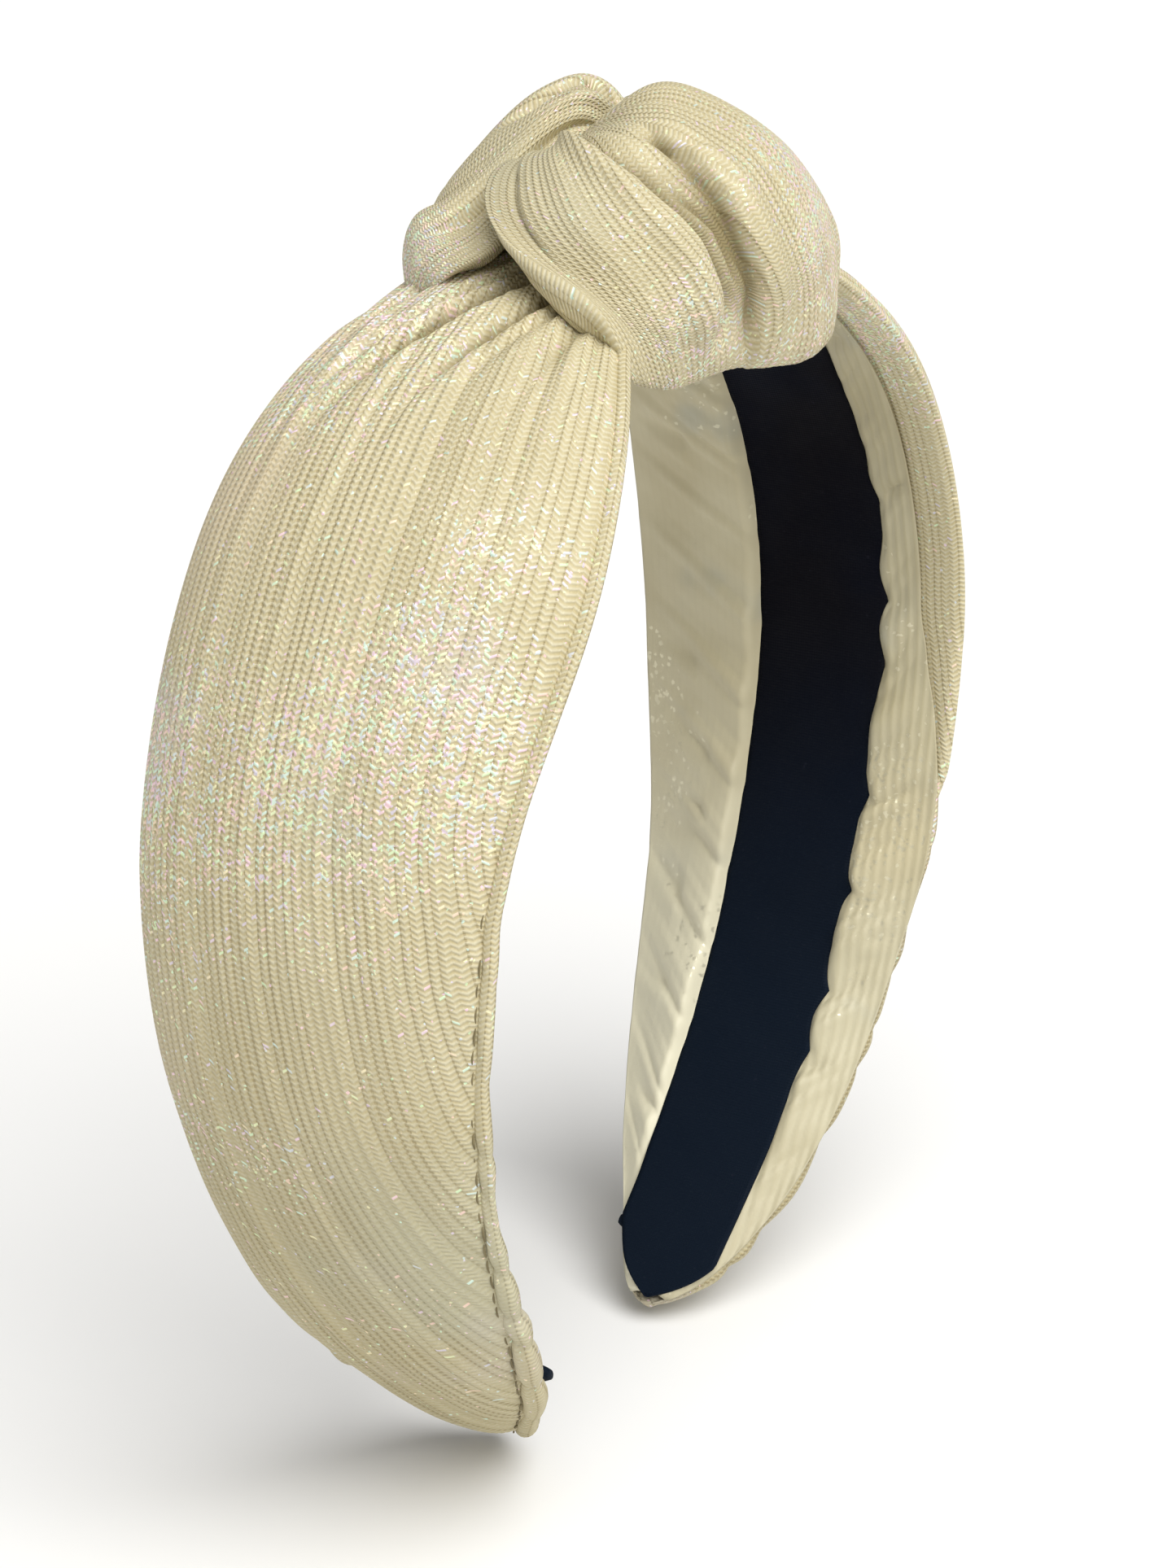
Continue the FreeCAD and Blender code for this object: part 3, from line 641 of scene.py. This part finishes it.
# The front wrap as ribs of (x, y, z) points, from the right wing's side to the left's. Each rib starts in the
# hollow at the top of the knot, goes over the front and down, and ends under the band.
FRONT_WRAP = (
    (
        (-7, 3, 11), (-16, 4, 12.5), (-22, 4, 11), (-26, 2, 8), (-29.5, -3, 5),
        (-31, -10, 2.4), (-31, -16.5, -2.3), (-26, -17.5, -10), (-17, -11, -3),
    ),
    (
        (-7, 2, 13), (-20, -3, 14.5), (-25, -7, 11.5), (-27, -11, 7), (-26, -16, 2),
        (-24, -19, -3), (-21, -19.5, -7.5), (-16, -17.5, -11.8), (-11, -11, -1.5),
    ),
    (
        (-7, 1, 14), (-17, -8, 16), (-20, -14, 12.5), (-19, -19, 8), (-17, -22, 4),
        (-14, -23.5, -1), (-11, -22.5, -6), (-6, -19, -11.3), (-3, -11, -0.8),
    ),
    (
        (-6, 0, 15), (-10, -9, 18), (-8, -15, 16.5), (-6, -21, 13), (-4, -25, 7),
        (-1, -26.5, 1), (2, -26, -5), (4, -22.5, -12), (4, -11, -0.8),
    ),
    (
        (-4, 0, 15.5), (0, -5, 20), (6, -9, 19), (9, -15, 15.5), (9.5, -20.5, 11),
        (9, -24.3, 5), (9.5, -25.5, -2), (11, -23.5, -9.5), (9, -11, -1.2),
    ),
    (
        (-2, 0, 14), (5, -3, 17), (13, -6, 15), (17.5, -9, 12), (21, -13, 8),
        (22.5, -17, 4), (22.5, -19.5, -1), (20, -17, -7), (17, -11, -3),
    ),
    (
        (2, 1, 12), (9, -1, 13), (16, -1, 11), (21, -1, 8.5), (24.5, -2, 5),
        (26.5, -5, 2), (27, -10, -1), (24, -13, -5), (18, -10, -3),
    ),
)
# The rear wrap is the front one turned half round and made shallower. Each rib is also raised or sunk by its
# own amount, shared out over the rib's second to fifth points.
REAR_DEPTH = 0.78
REAR_LIFT = (0, 0, 0.2, 0.4, -2.2, -2.6, -1.0)
REAR_LIFT_SHARES = (0.15, 0.7, 1.0, 0.8)
WRAP_THICKNESS = 7.0
# Folds along a wrap as (rib, point) places, both counted from 0. Then each fold's depth, its width in ribs
# and the side that it falls to.
FRONT_FOLDS = (
    (((1.35, 0.2), (1.98, 2.04), (2.02, 2.96), (2.02, 3.6), (1.92, 4.64), (1.75, 6.0)), 3.7, 0.12, 1),
    (((2.75, 1.4), (2.62, 2.4), (2.50, 3.4), (2.40, 4.68), (2.25, 6.6)), 3.2, 0.10, -1),
    (((2.2, 2.6), (2.25, 3.6), (2.15, 4.8)), 1.2, 0.07, 1),
    (((1.9, 0.3), (2.5, 1.5), (2.85, 2.6)), 1.0, 0.10, 1),
    (((0.3, 0.4), (0.42, 2.0), (0.38, 4.0)), 0.9, 0.07, -1),
    (((3.3, 0.4), (3.35, 2.0), (3.1, 3.6)), 0.9, 0.10, 1),
)
REAR_FOLDS = (
    (((4.2, 0.3), (4.6, 2.0), (4.7, 4.0), (4.6, 5.6)), 2.6, 0.16, -1),
    (((3.4, 0.2), (3.6, 1.4), (3.7, 2.8)), 2.4, 0.13, 1),
    (((2.0, 0.6), (2.2, 2.6), (2.1, 5.2)), 1.2, 0.16, 1),
    (((5.2, 0.5), (5.3, 2.4), (5.2, 4.6)), 1.6, 0.10, 1),
    (((1.0, 0.4), (1.1, 3.2), (1.0, 5.4)), 0.8, 0.12, 1),
)


def fold_lift(kk, ss, folds):
    """How folds raise and sink a wrap: one lip stands over a sharp hollow that rises again slowly."""
    lift = 0.0
    for points, deep, wide, way in folds:
        points = np.array(points, float)
        line = np.interp(ss, points[:, 1], points[:, 0])
        first, last = points[0, 1], points[-1, 1]
        fade = smoothstep(first - 0.4, first + 0.5, ss) * smoothstep(last + 0.5, last - 0.9, ss)
        away = way * (kk - line) / wide
        past = np.maximum(away, 0)
        step = 1 / (1 + np.exp(-np.clip((away - 0.15) / 0.12, -40, 40)))
        hollow = step * (0.85 * np.exp(-past / 1.2) + 0.15 * np.exp(-past / 3.5))
        lift = lift + deep * fade * (0.38 * np.exp(-(((away + 1.6) / 1.8) ** 2)) - hollow)
    return lift


def wrap_grid(ribs, rows, columns):
    """A smooth grid over a wrap's ribs, its outward normals, and the places of its columns and rows."""
    count, stations = ribs.shape[:2]
    s = np.linspace(0, stations - 1, rows)
    lines = spline(np.arange(stations), ribs.transpose(1, 0, 2), s)
    k = np.linspace(0, count - 1, columns)
    grid = spline(np.arange(count), lines.transpose(1, 0, 2), k).transpose(1, 0, 2)
    outward = normals(grid)
    if np.mean((outward * (grid - np.array([0, 0, HOOP_MIDDLE]))).sum(-1)) < 0:
        outward = -outward
    return grid, outward, k, s


def wrap(name, node, turned):
    """One wrap of the knot: a thick padded band of cloth that fans out from the hollow and rolls under."""
    rows, columns, under = 180, 330, 60
    ribs = np.array(FRONT_WRAP, float)
    if turned:
        ribs = ribs * np.array([-1, -REAR_DEPTH, 1])
        ribs[:, 1:5, 2] += np.outer(REAR_LIFT, REAR_LIFT_SHARES)
    count, stations = ribs.shape[:2]
    grid, outward, k, s = wrap_grid(ribs, rows, columns)
    kk, ss = k[None, :], s[:, None]
    cloth_across = kk * KNOT_GATHER * (1 + 0.0 * ss)
    cloth_along = ss * 8.0 + 0.0 * kk
    middle = smoothstep(0.0, 0.3, kk) * smoothstep(count - 1.0, count - 1.3, kk)
    seed = 141 if turned else 131
    start = smoothstep(0.0, 1.2, ss)
    fine = 0.55 * rib_height(cloth_across, cloth_along, seed) * start
    folded = fold_lift(kk, ss, REAR_FOLDS if turned else FRONT_FOLDS)
    top = grid + outward * ((folded + fine) * middle)[..., None]
    edge = np.abs(2 * k / (count - 1) - 1)
    thick = WRAP_THICKNESS * np.sqrt(1 - edge**4)[None, :] * (0.35 + 0.65 * smoothstep(0, 1.5, ss)) + 0.05
    thick = thick * (0.2 + 0.8 * smoothstep(stations - 1, stations - 3.5, ss))
    low = (grid - outward * thick[..., None])[:, ::-1]
    keep = np.linspace(1, columns - 2, under).round().astype(int)
    low = low[:, keep]
    rings = np.concatenate([top, low], axis=1)
    cloth = np.stack([cloth_across, cloth_along], axis=-1)
    cloth = np.concatenate([cloth, cloth[:, ::-1][:, keep], cloth[:, :1]], axis=1)
    # How deep each point lies in a fold, which the cloth darkens as painted shade; none on the underside.
    hollow = np.concatenate([np.clip(-folded / 2.2, 0, 1), 0.0 * low[..., 0]], axis=1)
    piece = tube(name, rings, cloth, False, hollow)
    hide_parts(node)
    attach(piece, "crown")
    return piece


# ---------------- materials


class Nodes:
    """Short calls for building a material's node tree."""

    def __init__(self, name):
        self.material = bpy.data.materials.new(name)
        self.material.use_nodes = True
        self.tree = self.material.node_tree
        self.shader = self.tree.nodes["Principled BSDF"]

    def add(self, kind, **values):
        """A new node, with its properties set."""
        node = self.tree.nodes.new(kind)
        for key, value in values.items():
            setattr(node, key, value)
        return node

    def join(self, value, socket):
        """Gives an input a number or a colour, or joins an output to it."""
        if isinstance(value, (int, float)):
            socket.default_value = value
        elif isinstance(value, tuple):
            socket.default_value = (*value, 1.0)
        else:
            self.tree.links.new(value, socket)

    def put(self, node, **values):
        """Fills a node's inputs, by their names with underscores, and gives the node back."""
        for name, value in values.items():
            self.join(value, node.inputs[name.replace("_", " ")])
        return node

    def feed(self, **values):
        """Fills the shader's inputs."""
        self.put(self.shader, **values)

    def math(self, operation, a, b=None):
        """One sum on one or two values, each a number or an output."""
        node = self.add("ShaderNodeMath", operation=operation)
        self.join(a, node.inputs[0])
        if b is not None:
            self.join(b, node.inputs[1])
        return node.outputs[0]

    def plus(self, a, b):
        return self.math("ADD", a, b)

    def minus(self, a, b):
        return self.math("SUBTRACT", a, b)

    def times(self, a, b):
        return self.math("MULTIPLY", a, b)

    def ramp(self, value, low, high, out_low=0.0, out_high=1.0):
        """A smooth step from out_low to out_high while a value goes from low to high."""
        node = self.add("ShaderNodeMapRange", interpolation_type="SMOOTHSTEP")
        self.put(node, Value=value, From_Min=low, From_Max=high, To_Min=out_low, To_Max=out_high)
        return node.outputs["Result"]

    def mix(self, factor, a, b):
        """A blend of two colours: a where the factor is 0 and b where it is 1."""
        node = self.add("ShaderNodeMix", data_type="RGBA", blend_type="MIX")
        colours = [s for s in node.inputs if s.type == "RGBA"]
        for value, socket in zip((factor, a, b), (node.inputs[0], *colours)):
            self.join(value, socket)
        return [s for s in node.outputs if s.type == "RGBA"][0]

    def noise(self, vector, scale, detail=2.0):
        """A cloudy value between 0 and 1."""
        node = self.add("ShaderNodeTexNoise")
        return self.put(node, Scale=scale, Detail=detail, Vector=vector).outputs["Fac"]

    def cells(self, vector, scale):
        """Small cells, each with its own random colour as hue, saturation and value outputs."""
        node = self.put(self.add("ShaderNodeTexVoronoi", feature="F1"), Scale=scale, Vector=vector)
        colour = self.add("ShaderNodeSeparateColor", mode="HSV")
        return self.put(colour, Color=node.outputs["Color"]).outputs

    def bump(self, height, distance, strength):
        """A normal from a height between 0 and 1, which stands for a distance in metres."""
        node = self.add("ShaderNodeBump")
        return self.put(node, Strength=strength, Distance=distance, Height=height).outputs["Normal"]

    def split(self, vector):
        """A vector's X, Y and Z outputs."""
        return self.put(self.add("ShaderNodeSeparateXYZ"), Vector=vector).outputs

    def cloth(self):
        """The cloth's own coordinates in millimetres: (across, along)."""
        coords = self.split(self.add("ShaderNodeUVMap", uv_map="cloth").outputs["UV"])
        return self.times(coords["X"], UV_SCALE), self.times(coords["Y"], UV_SCALE)

    def place(self):
        """Where a point is in the part's frame, in metres."""
        return self.add("ShaderNodeTexCoord").outputs["Object"]

    def level(self, vector):
        """How high a place is in the part's frame, in metres."""
        return self.split(vector)["Z"]


CHAMPAGNE = (0.560, 0.495, 0.315)
CHAMPAGNE_WARM = (0.610, 0.545, 0.360)
CHAMPAGNE_PALE = (0.74, 0.69, 0.50)
CHAMPAGNE_DEEP = (0.30, 0.245, 0.120)
STITCH_SHADE = (0.50, 0.40, 0.17)
STITCH_LIGHT = (0.80, 0.77, 0.62)
HOLE_SHADE = (0.27, 0.20, 0.09)
FOLD_PAINTED_SHADE = (0.20, 0.155, 0.065)
TIP_PAINTED_SHADE = (0.36, 0.33, 0.22)
ROSE = (0.66, 0.53, 0.42)
SAGE = (0.47, 0.50, 0.40)
LILAC = (0.56, 0.52, 0.52)
GLINT_GOLD = (0.98, 0.90, 0.62)
INNER_CLOTH = (0.53, 0.465, 0.290)
INNER_WARM = (0.62, 0.56, 0.375)
INNER_PAINTED_SHADE = (0.24, 0.22, 0.14)
INNER_PAINTED_SHADOW = (0.36, 0.37, 0.31)
INNER_GOLD = (0.62, 0.54, 0.33)
INNER_PAINTED_LIGHT = (0.78, 0.74, 0.56)
RIBBON_BLACK = (0.0022, 0.0020, 0.0040)
RIBBON_PAINTED_SHEEN = (0.0016, 0.0030, 0.0090)
RIBBON_COOL = (0.0032, 0.0075, 0.0160)
LINT = (0.03, 0.03, 0.045)


def knit_pattern(n, across, length, place, knit):
    """Each point's place in the knit: its count of ribs, how far it is from the rib's middle, the rib's own
    random value, its count of stitches, how much of a hole it is, and its level on the slanting stitches."""
    drift = n.noise(place, 45.0)
    column = n.math("DIVIDE", n.plus(across, n.times(drift, 0.8)), RIB_PITCH)
    away = n.math("ABSOLUTE", n.minus(n.times(n.math("FRACT", column), 2.0), 1.0))
    random = n.add("ShaderNodeTexWhiteNoise", noise_dimensions="1D")
    own = n.put(random, W=n.math("FLOOR", column)).outputs["Value"]
    stitch = n.plus(n.math("DIVIDE", length, STITCH_PITCH), n.times(own, 3.0))
    hole_along = n.math("ABSOLUTE", n.minus(n.math("FRACT", stitch), 0.5))
    hole = n.times(n.ramp(hole_along, 0.34, 0.16), n.ramp(away, 0.62, 0.86))
    hole = n.times(hole, n.times(n.ramp(own, 0.35, 0.6), knit))
    chevron = n.math("SINE", n.plus(n.times(stitch, ROUND), n.times(away, 3.4)))
    return column, away, own, stitch, hole, chevron


def metal_thread(n, column, away, stitch, chevron, flecks, patch):
    """How much the metallic thread shines at each point, and the colour of its painted highlight there. Each
    stitch has its own hue and shine, and a few fine flecks shine too. Both are denser in patches."""
    address = n.add("ShaderNodeCombineXYZ")
    row = n.math("FLOOR", n.plus(stitch, n.times(away, 0.5)))
    n.put(address, X=n.math("FLOOR", n.times(column, 2.0)), Y=row)
    bead = n.add("ShaderNodeTexWhiteNoise", noise_dimensions="2D")
    n.put(bead, Vector=address.outputs["Vector"])
    random = n.add("ShaderNodeSeparateColor", mode="RGB")
    n.put(random, Color=bead.outputs["Color"])
    fleck = n.math("GREATER_THAN", flecks["Blue"], n.minus(1.0, n.times(patch, 0.2)))
    shine = n.math("GREATER_THAN", random.outputs["Green"], n.minus(1.0, patch))
    shine = n.times(shine, n.ramp(chevron, -0.3, 0.5))
    pick = n.math("MAXIMUM", n.times(fleck, 0.8), n.times(shine, 0.75))
    hue = n.add("ShaderNodeCombineColor", mode="HSV")
    n.put(hue, Red=random.outputs["Red"], Green=0.42, Blue=1.0)
    return pick, n.mix(0.35, hue.outputs["Color"], GLINT_GOLD)


def pleated_cloth(name, shimmer, knit):
    """Champagne rib knit with a metallic thread: ribs, ladders of small holes, slanting stitches, glitter."""
    n = Nodes(name)
    across, length = n.cloth()
    place = n.place()
    column, away, own, stitch, hole, chevron = knit_pattern(n, across, length, place, knit)
    flecks = n.cells(place, 3400.0)
    # Painted shade towards the tips: low down the cloth takes a shade colour and shows fewer glints and pale
    # stitches.
    low = n.ramp(n.level(place), -0.115, -0.055, 0.04, 1.0)
    patch = n.times(n.ramp(n.noise(place, 30.0, 3.0), 0.44, 0.66, 0.03, shimmer), low)
    pick, glint = metal_thread(n, column, away, stitch, chevron, flecks, patch)
    # Colour: pale ridges, deeper valleys, and slow drifts between gold, rose, green and lilac.
    base = n.mix(n.ramp(n.noise(place, 60.0, 4.0), 0.3, 0.7), CHAMPAGNE, CHAMPAGNE_WARM)
    base = n.mix(n.times(n.ramp(away, 0.75, 0.0), 0.35), base, CHAMPAGNE_PALE)
    valley = n.times(n.ramp(away, 0.70, 0.98), n.ramp(own, 0.0, 1.0, 0.04, 0.24))
    base = n.mix(valley, base, CHAMPAGNE_DEEP)
    base = n.mix(n.ramp(chevron, 0.1, -0.9, 0.0, 0.34), base, STITCH_SHADE)
    base = n.mix(n.times(n.ramp(chevron, 0.2, 0.95, 0.0, 0.30), low), base, STITCH_LIGHT)
    # Painted shade, darker towards the tips.
    base = n.mix(n.ramp(low, 1.0, 0.0, 0.0, 0.22), base, TIP_PAINTED_SHADE)
    base = n.mix(n.times(hole, 0.8), base, HOLE_SHADE)
    base = n.mix(n.ramp(flecks["Green"], 0.2, 0.9, 0.0, 0.16), base, CHAMPAGNE_DEEP)
    pearl = n.noise(place, 20.0)
    base = n.mix(n.ramp(pearl, 0.56, 0.72, 0.0, 0.30), base, ROSE)
    base = n.mix(n.ramp(pearl, 0.44, 0.26, 0.0, 0.35), base, SAGE)
    base = n.mix(n.ramp(n.noise(place, 33.0), 0.58, 0.72, 0.0, 0.32), base, LILAC)
    # Glints: the metal shine is real, and their bright hue in the colour is painted highlight.
    base = n.mix(n.times(pick, 0.88), base, glint)
    # Painted shade, darkest where the folds and gathers lie deepest.
    sunk = n.add("ShaderNodeAttribute", attribute_name="hollow").outputs["Fac"]
    base = n.mix(n.ramp(sunk, 0.15, 1.0, 0.0, 0.85), base, FOLD_PAINTED_SHADE)
    n.feed(Base_Color=base, Metallic=n.times(pick, 0.35), Roughness=n.minus(0.66, n.times(pick, 0.18)))
    # Height: round ribs, slanting stitches, sunken holes, fuzz and flecks.
    ridge = n.times(n.minus(1.0, away), 0.30)
    height = n.plus(ridge, n.times(chevron, 0.22))
    height = n.minus(height, n.times(hole, 0.8))
    height = n.plus(height, n.times(n.noise(place, 2600.0), 0.22))
    height = n.plus(height, n.times(flecks["Blue"], 0.07))
    n.feed(Normal=n.bump(height, 0.00022, 0.85), Specular_IOR_Level=0.22)
    return n.material


def inner_cloth(name, ribbed, painted_shade, bright):
    """The cloth's smooth side: satin champagne with a faint grain, cool patches of painted shadow and a few
    glints, partly painted highlight. It can take painted shade all over, and painted light towards the tip."""
    n = Nodes(name)
    across, _ = n.cloth()
    place = n.place()
    base = n.mix(n.ramp(n.noise(place, 70.0, 4.0), 0.3, 0.7), INNER_CLOTH, INNER_WARM)
    # Painted shade over the whole strip.
    base = n.mix(painted_shade, base, INNER_PAINTED_SHADE)
    # Cool grey patches of painted shadow.
    base = n.mix(n.ramp(n.noise(place, 55.0, 3.0), 0.56, 0.72, 0.0, 0.5), base, INNER_PAINTED_SHADOW)
    base = n.mix(n.ramp(n.noise(place, 38.0), 0.56, 0.75, 0.0, 0.4), base, INNER_GOLD)
    grain = n.math("SINE", n.times(across, ROUND / 1.3))
    base = n.mix(n.ramp(grain, -0.2, -1.0, 0.0, 0.3 * ribbed), base, CHAMPAGNE_DEEP)
    # Painted light, brighter towards the tip.
    base = n.mix(n.ramp(n.level(place), -0.065, -0.12, 0.0, bright), base, INNER_PAINTED_LIGHT)
    flecks = n.cells(place, 2100.0)
    patch = n.ramp(n.noise(place, 34.0, 3.0), 0.50, 0.72, 0.0, 0.08)
    pick = n.math("GREATER_THAN", flecks["Blue"], n.minus(1.0, patch))
    # Glints: real metal shine, with painted highlight in the colour.
    base = n.mix(n.times(pick, 0.4), base, INNER_PAINTED_LIGHT)
    n.feed(Base_Color=base, Metallic=n.times(pick, 0.4), Roughness=n.minus(0.52, n.times(pick, 0.22)))
    fuzz = n.times(n.noise(place, 2200.0), 0.3)
    height = n.plus(n.times(grain, 0.7 * ribbed), fuzz)
    n.feed(Normal=n.bump(height, 0.00015, 0.7), Specular_IOR_Level=0.5)
    n.feed(Sheen_Weight=0.08, Sheen_Roughness=0.4)
    return n.material


def satin_ribbon():
    """Black satin: a fine cross weave, a muted bluish sheen painted in patches, a little lint, and a cooler
    tint low down.
    """
    n = Nodes("black_satin_ribbon")
    across, length = n.cloth()
    place = n.place()
    weave = n.math("SINE", n.times(length, ROUND / 0.42))
    weft = n.math("SINE", n.times(across, ROUND / 0.36))
    # Patches of painted bluish sheen.
    painted_sheen = n.ramp(n.noise(place, 38.0, 3.0), 0.35, 0.75)
    lint = n.ramp(n.noise(place, 900.0, 3.0), 0.70, 0.80)
    base = n.mix(painted_sheen, RIBBON_BLACK, RIBBON_PAINTED_SHEEN)
    base = n.mix(n.ramp(n.level(place), -0.05, -0.12), base, RIBBON_COOL)
    base = n.mix(n.times(lint, 0.25), base, LINT)
    n.feed(Base_Color=base)
    n.feed(Roughness=n.ramp(n.noise(place, 120.0, 3.0), 0.3, 0.7, 0.62, 0.78))
    height = n.plus(n.times(weave, 0.5), n.times(weft, 0.25))
    n.feed(Normal=n.bump(height, 0.00006, 0.6), Specular_IOR_Level=0.08)
    return n.material


def plain(name, low, high, roughness, scale, bump):
    """A material with a slow change of colour and a fine grain."""
    n = Nodes(name)
    place = n.place()
    n.feed(Base_Color=n.mix(n.ramp(n.noise(place, scale, 4.0), 0.3, 0.7), low, high))
    rough = n.ramp(n.noise(place, scale * 3, 3.0), 0.3, 0.7, roughness - 0.06, roughness + 0.06)
    n.feed(Roughness=rough)
    n.feed(Normal=n.bump(n.noise(place, scale * 12, 3.0), bump, 0.6))
    return n.material


def paint(piece, material):
    """Gives a piece one material, in place of any it has."""
    piece.data.materials.clear()
    piece.data.materials.append(material)


# ---------------- assembly


def blend_to(piece, side, first, last):
    """Bakes a piece's place into its mesh. It works out the flex line's ends at the two turns, but does not
    bend the piece.
    """
    start = on_band(first, HOOP_MIDDLE, 0.0, side) * MM
    end = on_band(last, HOOP_MIDDLE, 0.0, side) * MM
    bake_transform(piece)


# The turns handed to blend_to for each kind of piece, over which it would bend at the flex line, stiff
# pieces more sharply. No piece is bent.
COVER_BEND = (22, 42)
STRIP_BEND = (24, 38)
RIBBON_BEND = (27, 34)


def add_strip(side, front, material):
    """One inner strip, held by its hem and lying on the wing."""
    strip, width, mean_width, length = inner_strip(side, front)
    paint(strip, material)
    blend_to(strip, side, *STRIP_BEND)
    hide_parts(f"inner_fabric_{SIDE_NAMES[side]}")


def build_arm(side, outer, inner, black, thread):
    """All the pieces of one arm: its wing, hems, stitches, inner strips and ribbon."""
    arm = f"{SIDE_NAMES[side]}_arm"
    cover = wing_cover(side)
    paint(cover, outer)
    blend_to(cover, side, *COVER_BEND)
    for front in (True, False):
        roll = hem(side, front)
        paint(roll, outer)
        blend_to(roll, side, *COVER_BEND)
        seam = stitches(side, front)
        paint(seam, thread)
        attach(seam, arm)
        add_strip(side, front, inner[front])
    band = ribbon(side)
    paint(band, black)
    blend_to(band, side, *RIBBON_BEND)
    fold = ribbon_end(side)
    paint(fold, black)
    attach(fold, arm)


def build():
    """Every piece, with its material."""
    outer = pleated_cloth("champagne_rib_knit", shimmer=0.5, knit=0.62)
    inner = {
        True: inner_cloth("champagne_inner_front", ribbed=0.6, painted_shade=0.38, bright=0.2),
        False: inner_cloth("champagne_inner_rear", ribbed=0.1, painted_shade=0.12, bright=0.95),
    }
    black = satin_ribbon()
    thread = plain("sewing_thread", (0.15, 0.12, 0.055), (0.22, 0.18, 0.09), 0.7, 400.0, 0.00003)
    for side in SIDE_NAMES:
        build_arm(side, outer, inner, black, thread)
    paint(wrap("knot_front_loop", "knot_front_wrap", False), outer)
    paint(wrap("knot_rear_loop", "knot_rear_wrap", True), outer)
    plastic = plain("moulded_hoop", (0.62, 0.58, 0.47), (0.70, 0.66, 0.54), 0.45, 90.0, 0.00005)
    glue = plain("dried_glue", (0.50, 0.47, 0.38), (0.60, 0.56, 0.46), 0.35, 200.0, 0.00008)
    for name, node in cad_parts.items():
        if name.startswith("hoop_"):
            paint(node, plastic)
        if name.startswith("adhesive_tape_"):
            paint(node, glue)


# ---------------- stage

# The photograph's view: angles in degrees, the camera's place in millimetres, its lens and its sensor.
CAMERA_AZIMUTH = -61.65
CAMERA_ELEVATION = 18.38
CAMERA_ROLL = 0.82
CAMERA_PLACE = (-361.78, -193.35, 68.59)
CAMERA_LENS = 78.42
CAMERA_SENSOR = 36

# The stage, in metres: half the floor's width and how far it lies under the part. Each sun has the way to it,
# its strength and its colour.
FLOOR_REACH = 6.0
FLOOR_DROP = 0.004
FLOOR_COLOURS = ((0.88, 0.88, 0.88), (0.89, 0.89, 0.89))
SURROUND_STRENGTH = 0.28
SUN_SPREAD = 55
SUNS = {
    "key": ((-0.38, -0.56, 1.04), 3.5, (1.0, 0.99, 0.965)),
    "fill": ((-0.2, -0.9, 0.35), 0.25, (0.96, 0.98, 1.0)),
}


def make_camera():
    """The photograph's view of the object."""
    azimuth, elevation = math.radians(CAMERA_AZIMUTH), math.radians(CAMERA_ELEVATION)
    level = Vector((math.sin(azimuth), -math.cos(azimuth), 0))
    back = level * math.cos(elevation) + Vector((0, 0, math.sin(elevation)))
    right = Vector((math.cos(azimuth), math.sin(azimuth), 0))
    up = back.cross(right)
    roll = math.radians(CAMERA_ROLL)
    right, up = (right * math.cos(roll) + up * math.sin(roll), up * math.cos(roll) - right * math.sin(roll))
    data = bpy.data.cameras.new("camera")
    data.lens = CAMERA_LENS
    data.sensor_width = CAMERA_SENSOR
    camera = bpy.data.objects.new("camera", data)
    turn = Matrix((right, up, back)).transposed().to_4x4()
    camera.matrix_world = Matrix.Translation(Vector(CAMERA_PLACE) * MM) @ turn
    bpy.context.scene.collection.objects.link(camera)
    bpy.context.scene.camera = camera


def make_floor():
    """A plain pale floor just under the tips."""
    reach = FLOOR_REACH / MM
    corners = [(-reach, -reach, 0), (reach, -reach, 0), (reach, reach, 0), (-reach, reach, 0)]
    floor = make_object("floor", corners, [(0, 1, 2, 3)])
    floor.location.z = cad_box[0].z - FLOOR_DROP
    paint(floor, plain("pale_floor", *FLOOR_COLOURS, 0.8, 2.0, 0.0001))


def sun(name, way, strength, colour):
    """A broad soft light from one way, even over the whole stage."""
    data = bpy.data.lights.new(name, "SUN")
    data.energy = strength
    data.angle = math.radians(SUN_SPREAD)
    data.color = colour
    light = bpy.data.objects.new(name, data)
    light.rotation_euler = Vector(way).to_track_quat("Z", "Y").to_euler()
    bpy.context.scene.collection.objects.link(light)


def make_stage():
    """The floor, a bright white surround and two broad suns."""
    make_floor()
    world = bpy.data.worlds.new("studio")
    world.use_nodes = True
    background = world.node_tree.nodes["Background"]
    background.inputs["Color"].default_value = (1, 1, 1, 1)
    background.inputs["Strength"].default_value = SURROUND_STRENGTH
    bpy.context.scene.world = world
    for name, (way, strength, colour) in SUNS.items():
        sun(name, way, strength, colour)
    bpy.context.scene.view_settings.view_transform = "Standard"


build()
make_camera()
make_stage()
